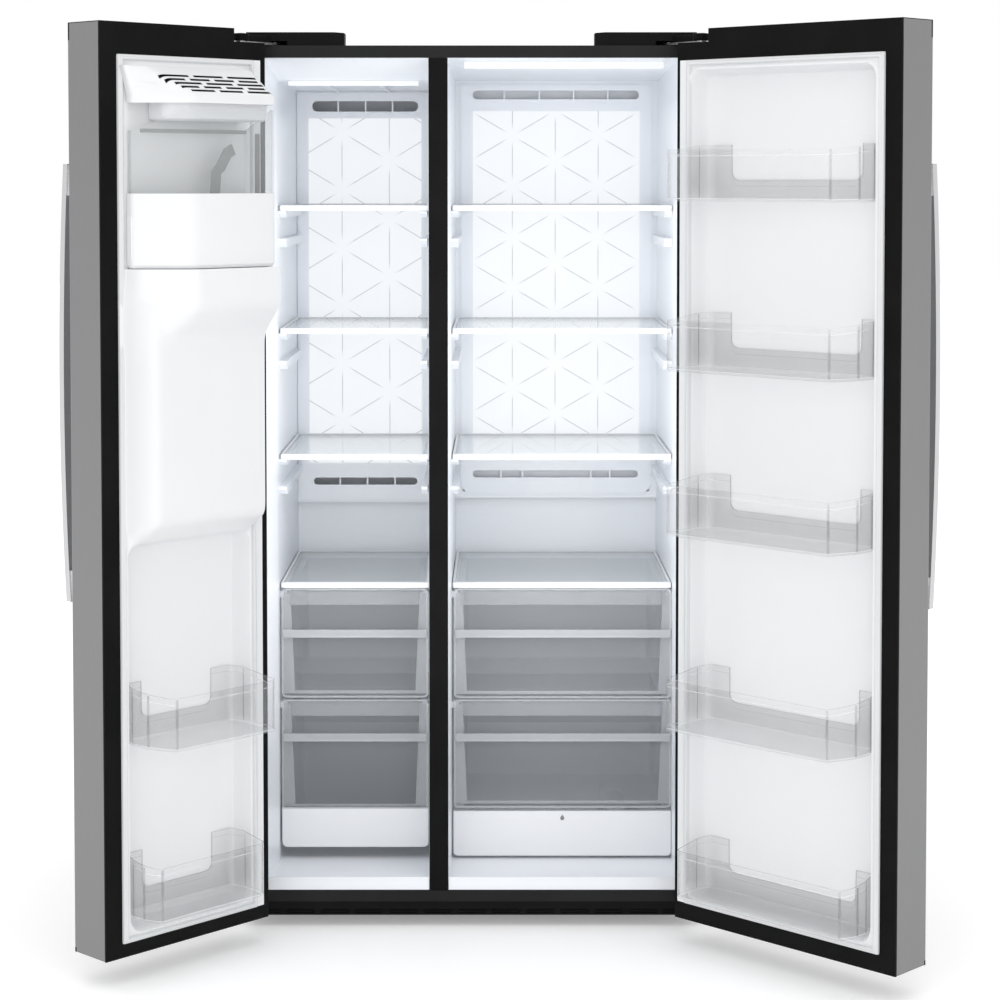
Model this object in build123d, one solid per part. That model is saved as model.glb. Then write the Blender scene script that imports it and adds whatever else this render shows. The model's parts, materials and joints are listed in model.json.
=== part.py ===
from build123d import *
import os
from math import cos, sin, radians

# Side by side refrigerator, both doors standing open.
# X runs across the front, Y runs back into the cabinet, Z is up from the floor.
# The origin is on the floor, under the middle of the cabinet's front plane.

# ---- driving dimensions, millimetres ----
WIDTH = 908.0
HALF = WIDTH / 2
DEPTH = 730.0
CASE_TOP = 1742.0
CASE_LOW = 26.0
SHEET = 1.0
WALL = 2.5
OPEN_LOW = 73.0
OPEN_TOP = 1718.0
LIP_TOP = 99.0
FLOOR = 95.0
LINER_FRONT = 1.6
MULLION = (-84.0, -46.6)
DECK = 30.0

DOOR_GAP = 10.0
DOOR_THICK = 99.0
DOOR_LOW = 51.5
DOOR_TOP = 1766.0
CAP_LOW = 60.0
CAP_TOP = 1734.0
FREEZER_DOOR = 388.0
FRIDGE_DOOR = 514.0
FREEZER_REST = 134.0
FRIDGE_REST = 136.0
PIN_U = 11.35
PIN_V = -57.15
PIN_R = 5.5
RUN = 0.05

FREEZER_LINER = (30.0, 351.0, 78.0, 1707.0)
FRIDGE_LINER = (25.0, 479.0, 85.0, 1707.0)
RIDGE = 20.0
PAN_DEEP = 38.0

SHELF_TOPS = (1429.0, 1180.0, 924.0)
COVER_TOP = 662.0
SHELF_THICK = 11.0
SHELF_FRONT = 150.0
SHELF_BACK = 560.0
DRAWER_BACK_LOW = 425.0

FRIDGE_BINS = ((1440.0, 1546.0), (1122.0, 1228.0), (812.0, 918.0), (443.0, 549.0))
HANDLE_LOW = 697.0
HANDLE_TOP = 1509.0


# ---- helpers ----
def block(x, y, z):
    """Box between two limits on each axis."""
    size = Box(x[1] - x[0], y[1] - y[0], z[1] - z[0])
    return Pos((x[0] + x[1]) / 2, (y[0] + y[1]) / 2, (z[0] + z[1]) / 2) * size


def prism_z(points, z0, z1):
    """Plan outline raised between two heights."""
    face = Plane.XY.offset(z0) * Polygon(*points, align=None)
    return extrude(face, amount=z1 - z0, dir=(0, 0, 1))


def prism_x(points, x0, x1):
    """Side outline of (depth, height) points carried across the width."""
    face = Plane.YZ.offset(x0) * Polygon(*points, align=None)
    return extrude(face, amount=x1 - x0, dir=(1, 0, 0))


def rod(axis, centre, radius, start, end):
    """Round bar along an axis letter; centre holds the other two coordinates."""
    length = end - start
    middle = (start + end) / 2
    bar = Cylinder(radius, length)
    if axis == "x":
        return Pos(middle, centre[0], centre[1]) * Rot(0, 90, 0) * bar
    if axis == "y":
        return Pos(centre[0], middle, centre[1]) * Rot(90, 0, 0) * bar
    return Pos(centre[0], centre[1], middle) * bar


def u_block(u, v, z):
    """Box in a left-hung closed door: u from its hinge edge, v from its inner face."""
    return block((u[0] - HALF, u[1] - HALF), (v[0] - DOOR_GAP, v[1] - DOOR_GAP), z)


def u_prism(points, z0, z1):
    """Plan outline in the door's own u and v, raised between two heights."""
    return prism_z([(u - HALF, v - DOOR_GAP) for u, v in points], z0, z1)


def u_profile(points, u0, u1):
    """Side outline of (v, height) points carried across the door."""
    return prism_x([(v - DOOR_GAP, z) for v, z in points], u0 - HALF, u1 - HALF)


def hang(shape, side):
    """Swing a closed left-hung shape to its open rest position, mirrored on the right."""
    angle = -FREEZER_REST
    pin_x = PIN_U - HALF
    if side == "right":
        shape = mirror(shape, about=Plane.YZ)
        angle = FRIDGE_REST
        pin_x = -pin_x
    pin_y = PIN_V - DOOR_GAP
    return Pos(pin_x, pin_y, 0) * Rot(0, 0, angle) * Pos(-pin_x, -pin_y, 0) * shape


def save(name, *shapes):
    """Write one node from its solids."""
    solids = []
    for shape in shapes:
        solids += list(shape.solids())
    body = solids[0] if len(solids) == 1 else Compound(children=solids)
    export_step(body, "parts/" + name + ".step")


# ---- cabinet ----
def freezer_space(grow=0.0):
    """The freezer cavity, or the liner's outside when grown by the wall."""
    low = -grow
    plan = [
        (-404 - grow, -5), (-404 - grow, 20), (-393 - grow, 120), (-391 - grow, 600 + grow),
        (-94 + grow, 600 + grow), (-84.5 + grow, 20), (-84.5 + grow, -5),
    ]
    side = [
        (-5, LIP_TOP + low), (12, LIP_TOP + low), (20, FLOOR + low), (440 + grow, FLOOR + low),
        (440 + grow, 310 + low), (600 + grow, 350 + low), (600 + grow, 1675 + grow),
        (150, 1681 + grow), (15, 1714 + grow), (-5, OPEN_TOP + grow),
    ]
    niche = block((-388 - grow, -97 + grow), (590, 650 + grow), (790 - grow, 1668 + grow))
    return (prism_z(plan, 0, 1800) & prism_x(side, -450, 0)) + niche


def fridge_space(grow=0.0):
    """The fresh food cavity, or the liner's outside when grown by the wall."""
    low = -grow
    plan = [
        (-46.2 - grow, -5), (-46.2 - grow, 20), (-43 - grow, 120), (-42 - grow, 600 + grow),
        (401 + grow, 600 + grow), (406 + grow, 120), (409 + grow, 20), (409 + grow, -5),
    ]
    side = [
        (-5, LIP_TOP + low), (12, LIP_TOP + low), (20, FLOOR + low), (440 + grow, FLOOR + low),
        (440 + grow, 310 + low), (600 + grow, 350 + low), (600 + grow, 1697 + grow),
        (-5, OPEN_TOP + grow),
    ]
    return prism_z(plan, 0, 1800) & prism_x(side, -100, 450)


def machine_space(grow=0.0):
    """The room for the compressor, low at the back."""
    side = [
        (490 - grow, DECK), (490 - grow, 265 + grow), (640, 300 + grow), (740, 300 + grow),
        (740, DECK),
    ]
    return prism_x(side, -452 - grow, 452 + grow)


def shelf_ribs(x_wall, x_tip):
    """Moulded ledges under each shelf and one spare pair below it."""
    ribs = []
    for top in SHELF_TOPS:
        for height, drop in ((top - SHELF_THICK - 0.5, 14), (top - 68, 18)):
            side = [
                (SHELF_FRONT + 14, height), (555, height), (555, height - drop),
                (SHELF_FRONT + 40, height - drop), (SHELF_FRONT + 14, height - 5),
            ]
            ribs.append(prism_x(side, min(x_wall, x_tip), max(x_wall, x_tip)))
    return ribs


def drawer_rails(x_wall, x_tip):
    """Ledges that carry the drawers' side flanges."""
    low, high = min(x_wall, x_tip), max(x_wall, x_tip)
    return [
        block((low, high), (SHELF_FRONT + 16, 555), (629, 643)),
        block((low, high), (SHELF_FRONT + 16, 436), (402, 415)),
    ]


def liner(space, x_range, walls):
    """Thermoformed tub with its front lip, shelf ribs and drawer rails."""
    tub = space(WALL) - space(0)
    tub = tub & block((-460, 460), (LINER_FRONT, 700), (0, 1800))
    tub += block(x_range, (LINER_FRONT, LINER_FRONT + WALL), (OPEN_LOW + 1, LIP_TOP - 1))
    outside = space(WALL)
    for wall, tip in walls:
        for rib in shelf_ribs(wall, tip) + drawer_rails(wall, tip):
            tub += rib & outside
    return tub


def freezer_liner():
    tub = liner(freezer_space, (-404, -84.5), ((-394, -378), (-92, -104)))
    for x in (-300, -190):
        tub += block((x, x + 6), (200, 570), (1671, 1682)) & freezer_space(WALL)
    return tub


def fridge_liner():
    tub = liner(fridge_space, (-46.2, 409), ((-44, -29), (405, 389)))
    return tub - rod("z", (250, 500), 9, 90, 97)


def case_wrapper():
    """Folded steel roof and sides with returned front flanges."""
    outer = block((-HALF, HALF), (0, DEPTH - SHEET), (CASE_LOW, CASE_TOP))
    inner = block((-HALF + SHEET, HALF - SHEET), (SHEET, DEPTH), (0, CASE_TOP - SHEET))
    mouth = block((-404.2, 409.2), (-1, 2), (0, OPEN_TOP))
    foot = block((-HALF + SHEET, HALF - SHEET), (-1, 31), (0, OPEN_LOW + 0.5))
    shell = outer - inner - mouth - foot
    edges = shell.edges().filter_by(Axis.Y).group_by(Axis.Z)[-1]
    return fillet(edges.sort_by(Axis.X)[0:1] + edges.sort_by(Axis.X)[-1:], 0.9)


def back_panel():
    """Rear sheet with louvres over the machine room and holes for the services."""
    sheet = block((-HALF, HALF), (DEPTH - SHEET, DEPTH), (CASE_LOW, CASE_TOP))
    for row in range(6):
        for column in range(8):
            x = -240 + 75 * column
            z = 110 + 26 * row
            sheet -= block((x, x + 58), (DEPTH - 2, DEPTH + 1), (z, z + 7))
    sheet -= rod("y", (-380, 130), 8, DEPTH - 2, DEPTH + 1)
    sheet -= rod("y", (-300, 90), 10.1, DEPTH - 2, DEPTH + 1)
    return sheet


def case_foam():
    """Foamed insulation between the case and both liners."""
    foam = block((-452, 452), (32, 728), (OPEN_LOW + 6, CASE_TOP - 2))
    foam = foam - freezer_space(WALL) - fridge_space(WALL) - machine_space(3)
    return max(foam.solids(), key=lambda solid: solid.volume)


def centre_mullion():
    """Channel that closes the front between the two compartments."""
    face = block(MULLION, (0, 1.5), (OPEN_LOW + 1, OPEN_TOP - 0.5))
    left = block((MULLION[0] + 6, MULLION[0] + 7.5), (1.5, 30), (OPEN_LOW + 1, OPEN_TOP - 0.5))
    right = block((MULLION[1] - 7.5, MULLION[1] - 6), (1.5, 30), (OPEN_LOW + 1, OPEN_TOP - 0.5))
    return face + left + right


def base_chassis():
    """Front cross rail, deck, machine room bulkhead and the roller and foot brackets."""
    rail = block((-452.5, 452.5), (0, 30), (51, OPEN_LOW))
    deck = block((-452.5, 452.5), (10, 728), (DECK, DECK + 2))
    post = block((-452.5, 452.5), (10, 12), (DECK, 52))
    side = [
        (487, DECK), (487, 268), (640, 303), (728, 303), (728, 301), (640.5, 301),
        (489, 266.5), (489, DECK),
    ]
    bulkhead = prism_x(side, -452.5, 452.5)
    base = rail + deck + post + bulkhead
    base -= block((-380, 380), (9, 13), (DECK + 4, 48))
    for sign in (-1, 1):
        x = sign * 390
        base += block((x - 16, x + 16), (94, 126), (DECK, 58))
        base -= rod("z", (x, 110), 5 + RUN, 20, 70)
        x = sign * 385
        base -= block((x - 14, x + 14), (620, 680), (20, 40))
        for near in (x - 19, x + 16):
            base += block((near, near + 3), (636, 664), (8, DECK + 1))
            base -= rod("x", (650, 22), 4 + RUN, near - 1, near + 4)
    base += block((-66, -62), (560, 660), (DECK, 200))
    base += rod("x", (610, 130), 20, -92, -56)
    return base + rod("x", (610, 130), 4, -57, -26)


def toe_grille():
    """Slotted plastic strip across the foot of the front."""
    strip = block((-452, 452), (3, 6), (23, 50.5))
    for index in range(13):
        x = -436 + 68 * index
        for z in (27, 32):
            strip -= block((x, x + 56), (2, 7), (z, z + 2.5))
    return strip


def door_hinges():
    """Upper arms and lower brackets with the pins that the doors turn on."""
    hinges = []
    for sign in (-1, 1):
        x = sign * (HALF - PIN_U)
        y = PIN_V - DOOR_GAP
        arm = prism_z(
            [(x - sign * 3, y - 8), (x + sign * 6, y + 4), (x - sign * 8, 6),
             (x - sign * 8, 60), (x - sign * 70, 60), (x - sign * 70, 18),
             (x - sign * 12, y + 2)],
            CASE_TOP + 0.5, CASE_TOP + 4.5)
        arm += rod("z", (x, y), 11, CASE_TOP + 0.5, CASE_TOP + 4.5)
        arm += rod("z", (x, y), PIN_R, CASE_TOP - 22, CASE_TOP + 12)
        arm += block((x - 6, x + 6), (y - 6, y + 6), (CASE_TOP + 4.5, CASE_TOP + 20))
        for screw in (20, 55):
            arm += rod("z", (x - sign * screw, 42), 6, CASE_TOP + 4.5, CASE_TOP + 8)
        hinges.append(arm)
        foot = block((x - 11, x + 11), (y - 11, -0.2), (43, 47))
        foot += block((x - 11, x + 11), (-3.2, -0.2), (43, 70))
        foot += rod("z", (x, y), PIN_R, 43, 74)
        foot += rod("z", (x, y), 10, 47, 51)
        hinges.append(foot)
    return hinges


def hinge_covers():
    """Plastic hoods over the upper hinges on the case roof."""
    covers = []
    for x0, x1 in ((-440.0, -250.0), (242.0, 440.0)):
        inner = x1 if x0 < 0 else x0
        step = -1 if x0 < 0 else 1
        outline = [
            (x0 if x0 < 0 else x1, 4), (inner, 4), (inner, 78), (inner + step * 14, 92),
            (x0 if x0 < 0 else x1, 92),
        ]
        shell = prism_z(outline, CASE_TOP, CASE_TOP + 26)
        ramp = prism_z(
            [(inner, -1), (inner + step * 22, -1), (inner, 30)], CASE_TOP, CASE_TOP + 30)
        shell -= ramp
        hollow = block((x0 + 3, x1 - 3), (7, 76), (CASE_TOP - 1, CASE_TOP + 23.5))
        hollow -= prism_z(
            [(inner - step, -1), (inner + step * 26, -1), (inner - step, 36)],
            CASE_TOP - 2, CASE_TOP + 30)
        shell -= hollow
        shell -= block((x0 - 1, x1 + 1), (0, 8), (CASE_TOP - 1, CASE_TOP + 9)) & block(
            (-455, -360) if x0 < 0 else (360, 455), (0, 8), (CASE_TOP - 1, CASE_TOP + 9))
        covers.append(shell)
    return covers


def vent_cuts(cover, limits, ribs, heights, y):
    """Cut one long grille opening, leaving its ribs."""
    cuts = [limits[0]] + [edge for rib in ribs for edge in (rib - 1.5, rib + 1.5)]
    cuts.append(limits[1])
    radius = (heights[1] - heights[0]) / 2
    middle = (heights[0] + heights[1]) / 2
    cuts[0] += radius
    cuts[-1] -= radius
    for start, end in zip(cuts[0::2], cuts[1::2]):
        cover -= block((start, end), (y - 1, y + 4), heights)
    for end in (cuts[0], cuts[-1]):
        cover -= rod("y", (end, middle), radius, y - 1, y + 4)
    return cover


def fridge_duct_cover():
    """Moulded panel that spreads the cold air down the back wall."""
    face = Rectangle(420, 900)
    face = fillet(face.vertices().group_by(Axis.Y)[0], 26)
    plane = Plane(origin=(179, 578, 1239), x_dir=(1, 0, 0), z_dir=(0, -1, 0))
    panel = extrude(plane * face, amount=-21)
    panel -= block((-28, 386), (581, 600), (810, 1686))
    panel = vent_cuts(panel, (-4, 360), (65, 142, 217, 292), (1657, 1676), 578)
    return vent_cuts(panel, (-4, 360), (58, 105, 256, 298), (824, 840), 578)


def evaporator_cover():
    """Freezer back panel with its grilles and the fan's motor mount."""
    panel = block((-389.5, -96), (578, 599), (775, 1672))
    panel -= block((-386.5, -99), (581, 600), (778, 1669))
    panel = vent_cuts(panel, (-356, -124), (-299, -239, -180), (1630, 1653), 578)
    panel = vent_cuts(panel, (-355, -127), (-297, -237, -176), (808, 824), 578)
    motor = rod("y", (-240, 1580), 22, 624, 646)
    motor += rod("y", (-240, 1580), 3, 604, 625)
    for x in (-310, -178):
        motor += block((x, x + 8), (581, 640), (1576, 1584))
    motor += block((-310, -170), (634, 640), (1576, 1584))
    return panel + motor


def interior_lights():
    """Two ceiling lamps and the two lit panels on the back walls."""
    return [
        block((-15, 379), (60, 110), (1702, 1713.6)),
        block((-371, -110), (152, 190), (1671, 1679)),
        block((-4, 362), (575.5, 577.9), (865, 1631)),
        block((-364, -117), (575.5, 577.9), (857, 1615)),
    ]


def finned_coil(x, y, z, fins, tubes):
    """Block of plate fins threaded on straight tubes and closed by end bends."""
    coil = []
    step = (x[1] - x[0]) / (fins - 1)
    core = block((x[0] - 6, x[1] + 6), (y[0] + 4, y[0] + 8), (z[0] + 4, z[0] + 8))
    body = core
    for index in range(fins):
        near = x[0] + step * index
        body += block((near, near + 0.8), y, z)
    rows = [z[0] + (z[1] - z[0]) * (k + 0.5) / tubes for k in range(tubes)]
    middle = (y[0] + y[1]) / 2
    for height in rows:
        body += rod("x", (middle, height), 4, x[0] - 10, x[1] + 10)
    for index, height in enumerate(rows[:-1]):
        end = x[1] + 10 if index % 2 == 0 else x[0] - 10
        body += rod("z", (end, middle), 4, height, rows[index + 1])
    coil.append(body)
    return coil


def compressor():
    """Welded compressor shell on its foot plate and rubber mounts."""
    shell = Pos(250, 610, 122) * fillet(Cylinder(78, 150).edges(), 30)
    plate = block((160, 340), (540, 680), (44, 47))
    unit = shell + plate
    for x in (172, 328):
        for y in (552, 668):
            unit += rod("z", (x, y), 9, DECK + 2, 46)
    unit += rod("z", (250, 610), 60, 46, 60)
    unit += block((322, 348), (590, 630), (90, 140))
    return unit


def fan(axis, centre, middle, radius, hub, width, bore):
    """Axial fan of five pitched blades on a bored hub."""
    wheel = Cylinder(hub, width)
    for index in range(5):
        blade = Pos(hub + (radius - hub) / 2 - 1, 0, 0) * Rot(28, 0, 0) * Box(
            radius - hub + 2, hub * 1.5, 1.6)
        wheel += Rot(0, 0, 72 * index) * blade
    wheel -= Cylinder(bore, width * 2)
    turn = Rot(0, 90, 0) if axis == "x" else Rot(90, 0, 0)
    where = Pos(middle, centre[0], centre[1]) if axis == "x" else Pos(
        centre[0], middle, centre[1])
    return where * turn * wheel


def water_valve():
    """Solenoid valve on the back panel with the supply line's threaded stub."""
    body = block((-400, -360), (690, 728.9), (105, 155))
    body += rod("z", (-380, 706), 12, 155, 185)
    body += rod("y", (-380, 130), 7.5, 728, 733)
    body += rod("y", (-380, 130), 5.56, 733, 746)
    return body - rod("y", (-380, 130), 2.4, 715, 750)


def power_inlet():
    """Gland bush in the back panel; the supply lead is not part of the model."""
    bush = rod("y", (-300, 90), 10, 724, 734)
    bush += rod("y", (-300, 90), 13, 730.1, 733)
    bush += rod("y", (-300, 90), 13, 726, 728.9)
    return bush - rod("y", (-300, 90), 4.6, 700, 740)


def water_filter():
    """Cartridge lying in its holder behind the flap under the drawers."""
    cartridge = rod("y", (300, 147), 25, 180, 400)
    cartridge += rod("y", (300, 147), 18, 168, 180)
    cartridge += block((297, 303), (160, 180), (133, 161))
    holder = block((270, 330), (401, 436), (96, 178)) - rod("y", (300, 147), 19, 395, 430)
    return [cartridge, holder]


def filter_cover():
    """Full width flap under the drawers, turning down on its lower pins."""
    flap = block((-37, 404), (146, 149), (101, 193))
    flap += block((-37, 404), (146, 158), (190, 193))
    flap += rod("x", (147.3, 103), 1.8, -39.5, 405)
    return flap


def levelling_feet():
    """Screwed feet under the front corners."""
    feet = []
    for x in (-390, 390):
        foot = rod("z", (x, 110), 20, 0, 10) + rod("z", (x, 110), 5, 9, 56)
        feet.append(foot)
    return feet


def rear_rollers():
    """Two rollers on their common axle under the back."""
    wheels = rod("x", (650, 22), 4, -403, 403)
    for x in (-385, 385):
        wheels += rod("x", (650, 22), 22, x - 10, x + 10)
    return wheels


# ---- shelves and drawers ----
def tapered(x0, x1, x2, x3, y0, y1, z0, z1):
    """Slab whose front edge is x0 to x1 and whose back edge is x2 to x3."""
    return prism_z([(x0, y0), (x1, y0), (x3, y1), (x2, y1)], z0, z1)


def shelf(left, right, top, back):
    """Framed glass shelf: a moulded rim and the pane let into it."""
    low = top - SHELF_THICK
    x2, x3 = left[1], right[1]
    rim = tapered(left[0], right[0], x2, x3, SHELF_FRONT, back, low, top)
    rim -= tapered(left[0] + 9, right[0] - 9, x2 + 9, x3 - 9, SHELF_FRONT + 11, back - 9,
                   low - 1, top + 1)
    seat = tapered(left[0] + 5, right[0] - 5, x2 + 5, x3 - 5, SHELF_FRONT + 7, back - 5,
                   top - 5, top - 1)
    return [rim - seat, seat]


def fridge_shelf(top, back=SHELF_BACK):
    return shelf((-41, -40), (404, 399.5), top, back)


def freezer_shelf(top, back=SHELF_BACK):
    return shelf((-390, -389.5), (-88.5, -95.5), top, back)


def drawer(left, right, back, low, top, pull):
    """Open-topped drawer with side flanges, a full front and a moulded pull."""
    x0, x1 = left[0], right[0]
    x2, x3 = left[1], right[1]
    tub = tapered(x0 + 19, x1 - 19, x2 + 19, x3 - 19, SHELF_FRONT, back, low, top)
    front = tapered(x0, x1, x0, x1, SHELF_FRONT, SHELF_FRONT + 12, low, top)
    rim = tapered(x0, x1, x2, x3, SHELF_FRONT, back, top - 6, top)
    body = tub + front + rim
    body -= tapered(x0 + 21.5, x1 - 21.5, x2 + 21.5, x3 - 21.5, SHELF_FRONT + 2.5, back - 2.5,
                    low + 2.5, top + 1)
    body += block((x0 + 8, x1 - 8), (SHELF_FRONT - 9, SHELF_FRONT + 0.5), (pull, pull + 4))
    body += block((x0 + 8, x1 - 8), (SHELF_FRONT - 9, SHELF_FRONT - 6), (pull, pull + 16))
    return body


def fridge_drawer(back, low, top, pull):
    return drawer((-38.5, -38), (405, 400), back, low, top, pull)


def freezer_drawer(back, low, top, pull):
    return drawer((-389, -388.5), (-90, -96), back, low, top, pull)


# ---- doors, built closed and left-hung ----
def door_skin(width):
    """Folded steel outer panel of a door."""
    outer = u_block((0.2, width - 0.2), (-DOOR_THICK, -4), (CAP_LOW, CAP_TOP))
    inner = u_block((1.0, width - 1.0), (-DOOR_THICK + 0.8, 0), (CAP_LOW - 1, CAP_TOP + 1))
    outer = fillet(outer.edges().filter_by(Axis.Z).group_by(Axis.Y)[0], 6)
    inner = fillet(inner.edges().filter_by(Axis.Z).group_by(Axis.Y)[0], 5.2)
    side = u_block((width - 1.0, width - 0.2), (-DOOR_THICK + 8, -4), (DOOR_LOW + 1, DOOR_TOP - 1.5))
    return outer - inner + side


def door_frame(width, liner_box):
    """Black inner surround joined to the moulded top and bottom caps."""
    u0, u1, z0, z1 = liner_box
    ring = u_block((0, width), (-4, 0), (CAP_LOW, CAP_TOP))
    ring -= u_block((u0, u1), (-5, 1), (z0, z1))
    top = u_block((0, width), (-DOOR_THICK, 0), (CAP_TOP, DOOR_TOP))
    top = fillet(top.edges().filter_by(Axis.Z).group_by(Axis.Y)[0], 6)
    top -= u_block((78, width - 3), (-DOOR_THICK + 3, -3), (CAP_TOP - 1, DOOR_TOP - 3))
    top -= u_block((-1, 75), (-DOOR_THICK - 1, 1), (CASE_TOP - 1, DOOR_TOP + 1))
    low = u_block((0, width), (-DOOR_THICK, 0), (DOOR_LOW, CAP_LOW))
    low = fillet(low.edges().filter_by(Axis.Z).group_by(Axis.Y)[0], 6)
    frame = ring + top + low
    for z in ((DOOR_LOW - 1, CAP_LOW), (CAP_TOP, DOOR_TOP - 1.2)):
        frame -= u_block((width - 1.3, width + 1), (-DOOR_THICK + 7.7, -3.7), z)
    hole = rod("z", (PIN_U - HALF, PIN_V - DOOR_GAP), PIN_R + RUN, DOOR_LOW - 1, DOOR_TOP)
    return frame - hole


def pan(u0, u1, z0, z1, deep):
    """Shallow drafted recess sunk into the door from its inner face."""
    plane = Plane(
        origin=((u0 + u1) / 2 - HALF, -DOOR_GAP, (z0 + z1) / 2), x_dir=(1, 0, 0),
        z_dir=(0, -1, 0))
    face = plane * RectangleRounded(u1 - u0, z1 - z0, 22)
    return extrude(face, amount=deep, taper=5)


def retaining_bosses(u0, u1, heights):
    """Small moulded pegs that the bins hang on."""
    pegs = []
    for z in heights:
        pegs.append(u_block((u0 - 1, u0 + 4), (-20, -6), (z, z + 16)))
        pegs.append(u_block((u1 - 3, u1 + 1), (-20, -6), (z, z + 16)))
    return pegs


def fridge_door_liner():
    """White inner liner of the fresh food door with its long recess."""
    u0, u1, z0, z1 = FRIDGE_LINER
    sheet = u_block((u0, u1), (-2, 0), (z0, z1))
    recess = (u0 + RIDGE + 1, u1 - RIDGE, z0 + RIDGE, z1 - RIDGE - 2)
    grown = (recess[0] - 2, recess[1] + 2, recess[2] - 2, recess[3] + 2)
    body = sheet + pan(*grown, PAN_DEEP + 2) - pan(*recess, PAN_DEEP)
    for peg in retaining_bosses(recess[0], recess[1], [low + 40 for low, _ in FRIDGE_BINS]):
        body += peg
    return body


def ice_outline(shrink=0.0):
    """Plan of the ice bucket and its hood: deep at the hinge, cut away at the free edge."""
    return [
        (54 + shrink, 0), (62 + shrink, 105 - shrink), (258 - shrink * 0.6, 105 - shrink),
        (338 - shrink, 25 - shrink * 0.4), (338 - shrink, 10 + shrink),
        (331 - shrink, 10 + shrink), (331 - shrink, 0),
    ]


def ice_bulge(shrink=0.0):
    """Body behind the dispenser: a shallow lower box under the deep ice shelf."""
    lower = u_profile(
        [(0, 815 + shrink), (58 - shrink, 845 + shrink), (58 - shrink, 1195), (0, 1195)],
        56 + shrink, 331 - shrink)
    lower = fillet(lower.edges().filter_by(Axis.Z).group_by(Axis.Y)[-1], 12 - shrink)
    upper = u_profile(
        [(0, 1180), (58 - shrink, 1186 + shrink), (105 - shrink, 1245 + shrink),
         (105 - shrink, 1318 - shrink), (0, 1318 - shrink)],
        40, 345)
    upper = upper & u_prism(ice_outline(shrink), 1100, 1400)
    return lower + upper


def freezer_door_liner():
    """White inner liner of the freezer door: low recess, dispenser bulge and ice shelf."""
    u0, u1, z0, z1 = FREEZER_LINER
    sheet = u_block((u0, u1), (-2, 0), (z0, z1))
    recess = (u0 + RIDGE, u1 - RIDGE, z0 + RIDGE, 812)
    grown = (recess[0] - 2, recess[1] + 2, recess[2] - 2, recess[3] + 2)
    body = sheet + pan(*grown, PAN_DEEP + 2) - pan(*recess, PAN_DEEP)
    body = body + ice_bulge() - ice_bulge(2.2)
    body -= u_block((60, 325), (-3, 0.1), (860, 1300))
    body -= u_block((180, 240), (20, 80), (1310, 1320))
    for peg in retaining_bosses(recess[0], recess[1], (490, 170)):
        body += peg
    return body


def gasket(liner_box):
    """Magnetic door seal: a soft flat base with a raised bead."""
    u0, u1, z0, z1 = liner_box
    base = u_block((u0, u1), (0, 6), (z0, z1))
    base -= u_block((u0 + RIDGE - 1, u1 - RIDGE + 1), (-1, 10), (z0 + RIDGE - 1, z1 - RIDGE))
    bead = u_block((u0 + 5, u1 - 5), (6, 9.4), (z0 + 5, z1 - 5))
    bead -= u_block((u0 + RIDGE - 3, u1 - RIDGE + 3), (5, 10), (z0 + RIDGE - 3, z1 - RIDGE + 2))
    return base + bead


def handle(width):
    """Bowed bar on two end posts, near the free edge of the door."""
    u0, u1 = width - 47.0, width - 21.0
    face = -DOOR_THICK - DOOR_GAP
    mid = (HANDLE_LOW + HANDLE_TOP) / 2
    front = ThreePointArc((face - 43, HANDLE_LOW), (face - 60, mid), (face - 43, HANDLE_TOP))
    back = ThreePointArc((face - 30, HANDLE_TOP), (face - 46, mid), (face - 30, HANDLE_LOW))
    top = Line((face - 43, HANDLE_TOP), (face - 30, HANDLE_TOP))
    low = Line((face - 30, HANDLE_LOW), (face - 43, HANDLE_LOW))
    side = make_face(Plane.YZ.offset(u0 - HALF) * (front + top + back + low))
    bar = extrude(side, amount=u1 - u0, dir=(1, 0, 0))
    for z in (HANDLE_LOW, HANDLE_TOP - 60):
        post = block((u0 - HALF + 2, u1 - HALF - 2), (face - 34, face), (z + 2, z + 58))
        bar += post
    return bar


def bin_outline(free, deep, shrink=0.0, hinge=52.0):
    """Plan of a door bin, cut back at the free end so that it clears the mullion."""
    s = shrink
    cut = min(60, deep * 0.58)
    kink = 21 if deep > 80 else 12
    return [
        (hinge + 8 + s, -36 + s), (hinge + s, 0), (hinge + s, deep - 12 - s * 0.4),
        (hinge + 12 + s * 0.4, deep - s), (free - kink - s * 0.6, deep - s),
        (free - s, deep - cut), (free - s, 0), (free - 11 - s, -36 + s),
    ]


def door_bin(free, deep, low, top, hinge=52.0):
    """Clear bin with raised ends and a low back."""
    wall = 2.4
    shell = u_prism(bin_outline(free, deep, 0, hinge), low, top)
    shell -= u_prism(bin_outline(free, deep, wall, hinge), low + 3, top + 1)
    slope = [
        (-60, low - 1), (deep + 20, low - 1), (deep + 20, top - 10), (deep - 20, top - 10),
        (-10, top), (-60, top),
    ]
    shell = shell & u_profile(slope, 0, free + 60)
    return shell - u_block((hinge + 54, free - 50), (-40, -30), (low + 40, top + 1))


def icemaker():
    """Ice mould and its drive box under the hood."""
    mould = u_block((90, 284), (12, 62), (1592, 1640))
    mould -= u_block((94, 280), (16, 58), (1600, 1641))
    drive = u_block((64, 90), (8, 66), (1590, 1650))
    bracket = u_block((100, 284), (0.1, 12), (1626, 1640))
    lip = u_block((90, 256), (62, 92), (1590, 1597))
    return mould + drive + bracket + lip


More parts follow.
